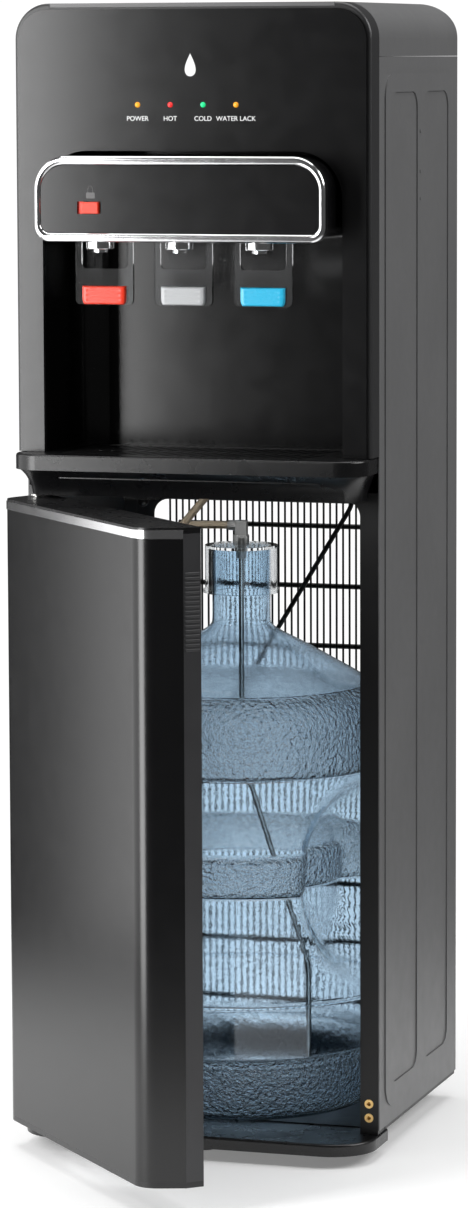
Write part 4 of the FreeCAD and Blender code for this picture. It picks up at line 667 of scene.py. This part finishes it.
# ------------------------------------------------------------------ dispensing head
@dataclass
class TapHead:
    """Pod's bright bezel, lever pads, printed marks and indicator lenses."""

    pod_half: float = 132.0
    pod_low: float = 811.0
    pod_high: float = 885.5
    front: float = -64.0
    depth: float = 10.0
    side: float = 6.0
    band: float = 8.0
    centre: float = -2.5
    pitch: float = 72.4
    lever_y: float = -40.0
    lever_half: float = 26.5
    window: float = 20.8
    lever_low: float = 755.5

    def bezel(self) -> None:
        """Bezel: a domed profile carried round the pod's rounded outline."""
        outer = rounded(np.array([[-self.pod_half, self.pod_low], [self.pod_half, self.pod_low],
                                  [self.pod_half, self.pod_high], [-self.pod_half, self.pod_high]]),
                        np.array([14.0, 14.0, 29.0, 29.0]), 20)
        inner = rounded(np.array([[-self.pod_half + self.side, self.pod_low + self.band],
                                  [self.pod_half - self.side, self.pod_low + self.band],
                                  [self.pod_half - self.side, self.pod_high - self.band],
                                  [-self.pod_half + self.side, self.pod_high - self.band]]),
                        np.array([8.0, 8.0, 22.0, 22.0]), 20)
        turn = np.linspace(0.0, np.pi, 13)
        share = 0.5 - 0.5 * np.cos(turn)
        bulge = np.sin(turn)
        rows = [np.hstack([outer[:, :1], np.full((len(outer), 1), self.front + self.depth), outer[:, 1:]])]
        for s, b in zip(share, bulge):
            flat = outer * (1 - s) + inner * s
            rows.append(np.hstack([flat[:, :1], np.full((len(flat), 1), self.front + 3.0 - 3.0 * b), flat[:, 1:]]))
        rows.append(np.hstack([inner[:, :1], np.full((len(inner), 1), self.front + self.depth), inner[:, 1:]]))
        rows.append(rows[0])
        verts = np.concatenate(rows) * MM
        obj = new_piece("bright_bezel", verts, grid_quads(len(rows), len(outer), True), CHROME, "cabinet")
        fix_normals(obj)
        obj.data.set_sharp_from_angle(angle=math.radians(50))
        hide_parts("chrome_bezel")

    def levers(self) -> None:
        """Ribbed coloured pads, one across the foot of each clear lever."""
        for index, (name, pad) in enumerate((("hot", RED), ("ambient", PAD_GREY), ("cold", CYAN))):
            x = self.centre + (index - 1) * self.pitch
            body = name + "_lever"
            self._pad(name, x, pad, body)

    def _pad(self, name: str, x: float, finish: Finish, body: str) -> None:
        """Push pad: a domed slab with shallow grooves across its face.

        Args:
            name: Which tap it belongs to.
            x: Its middle, millimetres.
            finish: Its colour.
            body: The lever that carries it.
        """
        u = np.linspace(-1.0, 1.0, 41)
        v = np.linspace(-1.0, 1.0, 33)
        uu, vv = np.meshgrid(u, v, indexing="ij")
        low, high = self.lever_low + 0.4, self.lever_low + 16.5
        squeeze = 1.0 - 0.10 * np.clip(-vv, 0, 1) ** 4
        px = x + 20.2 * np.sign(uu) * np.abs(uu) ** 0.9 * squeeze
        pz = (low + high) / 2 + (high - low) / 2 * vv
        rim = (1 - np.abs(uu) ** 12) * (1 - np.abs(vv) ** 10)
        groove = 0.22 * (np.cos(vv * np.pi * 4.0) > 0.55) * (np.abs(uu) < 0.72)
        face = self.lever_y - 1.6 - 0.6 - 2.7 * np.clip(rim, 0, 1) ** 0.4 + groove
        back = np.full_like(face, self.lever_y - 1.6)
        front = np.stack([px, face, pz], axis=-1)
        rear = np.stack([px, back, pz], axis=-1)
        n, m = uu.shape
        quads = grid_quads(n, m, False)
        total = n * m
        edge = np.concatenate([np.arange(0, m), np.arange(2 * m - 1, total, m), np.arange(total - 2, total - m - 1, -1),
                               np.arange(total - 2 * m, 0, -m)])
        after = np.roll(edge, -1)
        walls = np.stack([edge, after, after + total, edge + total], axis=1)
        verts = np.concatenate([front.reshape(-1, 3), rear.reshape(-1, 3)]) * MM
        obj = new_piece(name + "_push_pad", verts, np.concatenate([quads, quads[:, ::-1] + total, walls]), finish, body)
        fix_normals(obj)
        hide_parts("pad_" + name)

    def prints(self) -> None:
        """Generic marks: indicator words, a water drop and the lock sign, as thin print on the front."""
        led_centre, led_pitch = -3.5, 29.9
        for i, word in enumerate(("POWER", "HOT", "COLD", "WATER LACK")):
            self._word("label_" + word.lower().replace(" ", "_"), word, led_centre + (i - 1.5) * led_pitch, 915.2, 5.8)
        turn = np.linspace(0.0, 2 * np.pi, 49)[:-1]
        drop = np.stack([7.0 * np.sin(turn) * np.sin(turn / 2) ** 1.4, 966.0 - 2.5 + 10.0 * np.cos(turn)], axis=1)
        prism("water_drop_mark", drop * MM, -27.12 * MM, -26.9 * MM, Plane.XZ, PRINT_WHITE, "cabinet")
        shackle = np.linspace(0.0, np.pi, 15)
        path = np.stack([-80.0 + 2.3 * np.cos(shackle), np.full(15, -62.45), 856.2 + 3.2 * np.sin(shackle)], axis=1)
        path = np.vstack([[-77.7, -62.45, 853.6], path, [-82.3, -62.45, 853.6]])
        verts, quads = tube_along(path * MM, 0.32 * MM, 6)
        new_piece("lock_shackle_mark", verts, quads, PRINT_GREY, "cabinet")
        body = rounded(np.array([[-84.0, 848.6], [-76.0, 848.6], [-76.0, 853.8], [-84.0, 853.8]]),
                       np.full(4, 0.8), 5)
        prism("lock_body_mark", body * MM, -62.55 * MM, -62.3 * MM, Plane.XZ, PRINT_GREY, "cabinet")

    @staticmethod
    def _word(name: str, word: str, x: float, z: float, size: float) -> None:
        """Print one generic word on the fascia.

        Args:
            name: The piece's name.
            word: What it says.
            x: Its middle, millimetres.
            z: Its base line, millimetres.
            size: Letter size, millimetres.
        """
        curve = bpy.data.curves.new(name, "FONT")
        curve.body = word
        curve.size = size * MM
        curve.align_x = "CENTER"
        curve.extrude = 0.05 * MM
        curve.offset = 0.04 * MM
        text = bpy.data.objects.new(name, curve)
        bpy.context.scene.collection.objects.link(text)
        bpy.context.view_layer.update()
        mesh = bpy.data.meshes.new_from_object(text.evaluated_get(bpy.context.evaluated_depsgraph_get()))
        bpy.data.objects.remove(text)
        mesh.transform(Matrix.Translation((x * MM, -27.05 * MM, z * MM)) @ Matrix.Rotation(math.pi / 2, 4, "X"))
        obj = bpy.data.objects.new(name, mesh)
        bpy.context.scene.collection.objects.link(obj)
        dress(obj, PRINT_WHITE)
        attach(obj, "cabinet")

    def lenses(self) -> None:
        """Indicator lenses: a short collar and a dome, each in its own colour."""
        turn = np.linspace(0.0, np.pi / 2, 9)
        for i, finish in enumerate((AMBER, LENS_RED, LENS_GREEN, AMBER)):
            x = -3.5 + (i - 1.5) * 29.9
            r = np.concatenate([[2.4], 2.4 * np.cos(turn[:-1]), [0.02]])
            y = np.concatenate([[-24.5], -26.7 - 2.0 * np.sin(turn[:-1]), [-28.7]])
            angle = np.linspace(0.0, 2 * np.pi, 32, endpoint=False)
            verts = np.stack([x + r[:, None] * np.cos(angle), np.repeat(y[:, None], 32, axis=1),
                              929.0 + r[:, None] * np.sin(angle)], axis=-1)
            count = len(r) * 32
            obj = new_piece("lens_%d" % (i + 1), verts * MM, grid_quads(len(r), 32, True), finish, "cabinet",
                            (tuple(range(32)), tuple(range(count - 32, count))))
            fix_normals(obj, 1e-7)
            if i == 0:
                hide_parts("indicator_lenses")

    def build(self) -> None:
        """Build the head's pieces."""
        self.bezel()
        self.levers()
        self.prints()
        self.lenses()
        LOG.info("tap head built")


# ------------------------------------------------------------------ carried-over nodes
@dataclass
class NodeFinishes:
    """Finish of each solid that stays as it is."""

    table: dict[str, Finish] = field(default_factory=lambda: {
        "base_plinth": BLACK_PLASTIC, "levelling_feet": BLACK_PLASTIC, "base_pan": FRAME_BLACK,
        "lower_frame": FRAME_BLACK, "side_panel_left": GREY_COAT, "side_panel_right": GREY_COAT,
        "rear_panel": GREY_COAT, "inner_decks": ZINC, "top_cover": GREY_MOULDING, "front_frame": FRAME_MOULDING,
        "front_fascia": SATIN_BLACK, "niche_liner": NICHE_BLACK, "drip_shelf": BLACK_PLASTIC,
        "drip_tray": BLACK_PLASTIC, "drip_grille": GRILLE_BLACK, "tap_housing": SATIN_BLACK,
        "pod_face": SATIN_BLACK, "child_lock": RED, "tap_nozzles": CHROME, "tap_valves": GREY_MOULDING,
        "lever_hinges": STEEL, "lever_hot": SMOKED, "lever_ambient": SMOKED, "lever_cold": SMOKED,
        "circuit_boards": BOARD, "door_liner": LINER_GREY, "door_end_caps": BLACK_PLASTIC, "hinge_pins": STEEL,
        "brass_inserts": BRASS, "probe_collar": CLEAR, "probe_fitting": WHITE_FITTING, "suction_tube": STEEL,
        "deck_fitting": WHITE_FITTING, "door_switch": BLACK_PLASTIC, "condenser_tube": WIRE_BLACK,
        "condenser_wires": WIRE_BLACK, "riser_pipe": WIRE_BLACK, "compressor": WIRE_BLACK, "hot_tank": STEEL,
        "hot_tank_jacket": FOAM, "cold_tank": STEEL, "cold_tank_foam": FOAM, "water_pump": BLACK_PLASTIC,
        "water_hoses": SILICONE, "power_inlet": BLACK_PLASTIC, "switch_bodies": BLACK_PLASTIC,
        "rocker_power": BLACK_PLASTIC, "rocker_hot": RED, "rocker_cold": CYAN, "drain_spout": BLACK_PLASTIC,
        "drain_cap": BLACK_PLASTIC, "indicator_lenses": AMBER, "door_shell": DOOR_BLACK, "door_strip": CHROME,
        "water_bottle": BOTTLE_BLUE, "feed_hose": SILICONE, "chrome_bezel": CHROME, "pad_hot": RED,
        "pad_ambient": PAD_GREY, "pad_cold": CYAN})

    def apply(self, nodes: dict[str, bpy.types.Object]) -> None:
        """Dress every node.

        Args:
            nodes: The frame's nodes by name.
        """
        for name, obj in nodes.items():
            finish = self.table.get(name)
            if finish is None:
                LOG.warning("no finish for %s", name)
                continue
            dress(obj, finish)


# ------------------------------------------------------------------ studio
@dataclass
class Studio:
    """Pale floor, soft light and the camera."""

    place: tuple[float, float, float] = (1.25766, -3.89665, 0.97451)
    yaw: float = -0.305338
    pitch: float = 0.117804
    roll: float = -0.0038
    lens: float = 139.06

    def camera(self) -> None:
        """Camera: looks along its yaw and pitch, rolled a little about its own axis."""
        forward = Vector((math.sin(self.yaw) * math.cos(self.pitch), math.cos(self.yaw) * math.cos(self.pitch),
                          -math.sin(self.pitch)))
        right = Vector((math.cos(self.yaw), -math.sin(self.yaw), 0.0))
        up = right.cross(forward)
        turned = right * math.cos(self.roll) + up * math.sin(self.roll)
        up = turned.cross(forward)
        data = bpy.data.cameras.new("view")
        data.sensor_fit = "VERTICAL"
        data.sensor_height = 36.0
        data.lens = self.lens
        data.clip_end = 50.0
        cam = bpy.data.objects.new("view", data)
        matrix = Matrix((turned, up, -forward)).transposed().to_4x4()
        matrix.translation = Vector(self.place)
        cam.matrix_world = matrix
        bpy.context.scene.collection.objects.link(cam)
        bpy.context.scene.camera = cam

    @staticmethod
    def light(name: str, place: tuple[float, float, float], aim: tuple[float, float, float],
              size: tuple[float, float], power: float) -> None:
        """Hang one soft box.

        Args:
            name: Its name.
            place: Where it hangs.
            aim: The point it faces.
            size: Its width and height.
            power: Its power in watts.
        """
        data = bpy.data.lights.new(name, "AREA")
        data.shape = "RECTANGLE"
        data.size, data.size_y = size
        data.energy = power
        lamp = bpy.data.objects.new(name, data)
        lamp.location = place
        lamp.visible_camera = False
        lamp.rotation_euler = (Vector(aim) - Vector(place)).to_track_quat("-Z", "Y").to_euler()
        bpy.context.scene.collection.objects.link(lamp)

    def build(self) -> None:
        """Set floor, sky and lights."""
        self.camera()
        turn = np.linspace(0.0, 2 * np.pi, 65)[:-1]
        verts = np.stack([1.5 * np.cos(turn), 0.05 + 1.5 * np.sin(turn), np.zeros(64)], axis=1)
        mesh = bpy.data.meshes.new("studio_floor")
        mesh.from_pydata(verts.tolist(), [], [list(range(64))])
        floor = bpy.data.objects.new("studio_floor", mesh)
        bpy.context.scene.collection.objects.link(floor)
        dress(floor, FLOOR_WHITE)
        self._fade(floor)
        self._room()
        bpy.context.scene.view_settings.view_transform = "Standard"
        self.light("front_left_box", (-0.82, -1.10, 0.80), (-0.40, 0.0, 0.80), (0.60, 1.7), 29.0)
        self.light("left_box", (-1.15, -0.35, 0.9), (0.0, -0.35, 0.9), (1.3, 1.8), 12.0)
        self.light("right_box", (2.2, 0.2, 2.0), (0.16, 0.13, 0.8), (2.0, 1.3), 48.0)
        self.light("top_box", (0.0, 0.2, 3.0), (0.0, 0.1, 0.5), (2.4, 2.4), 62.0)

    @staticmethod
    def _fade(floor: bpy.types.Object) -> None:
        """Let the round floor melt into the room: its alpha falls with the distance from its middle."""
        tree = floor.data.materials[0].node_tree
        coords = tree.nodes.new("ShaderNodeTexCoord")
        reach = tree.nodes.new("ShaderNodeVectorMath")
        reach.operation = "LENGTH"
        tree.links.new(coords.outputs["Object"], reach.inputs[0])
        fall = tree.nodes.new("ShaderNodeMapRange")
        fall.interpolation_type = "SMOOTHSTEP"
        fall.inputs["From Min"].default_value = 0.45
        fall.inputs["From Max"].default_value = 1.35
        fall.inputs["To Min"].default_value = 1.0
        fall.inputs["To Max"].default_value = 0.0
        tree.links.new(reach.outputs["Value"], fall.inputs["Value"])
        tree.links.new(fall.outputs["Result"], tree.nodes["Principled BSDF"].inputs["Alpha"])

    @staticmethod
    def _room() -> None:
        """White room behind everything; what lights and mirrors in the pieces is the same room dimmed."""
        world = bpy.data.worlds.new("pale_room")
        world.use_nodes = True
        nodes, links = world.node_tree.nodes, world.node_tree.links
        back = nodes["Background"]
        back.inputs["Color"].default_value = (1.0, 1.0, 1.0, 1.0)
        path = nodes.new("ShaderNodeLightPath")
        seen = nodes.new("ShaderNodeMath")
        seen.operation = "MAXIMUM"
        links.new(path.outputs["Is Camera Ray"], seen.inputs[0])
        links.new(path.outputs["Is Transmission Ray"], seen.inputs[1])
        level = nodes.new("ShaderNodeMapRange")
        level.inputs["To Min"].default_value = 0.07
        level.inputs["To Max"].default_value = 1.05
        links.new(seen.outputs["Value"], level.inputs["Value"])
        links.new(level.outputs["Result"], back.inputs["Strength"])
        bpy.context.scene.world = world


def main() -> None:
    """Load the frame, dress it, and build each sub-assembly."""
    logging.basicConfig(level=logging.INFO)
    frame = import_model()
    Studio().build()
    bottle = BayBottle()
    bottle.hose()
    NodeFinishes().apply(frame["nodes"])
    door = SwingDoor()
    door.shell()
    door.build()
    bottle.build()
    TapHead().build()


if __name__ == "__main__":
    main()
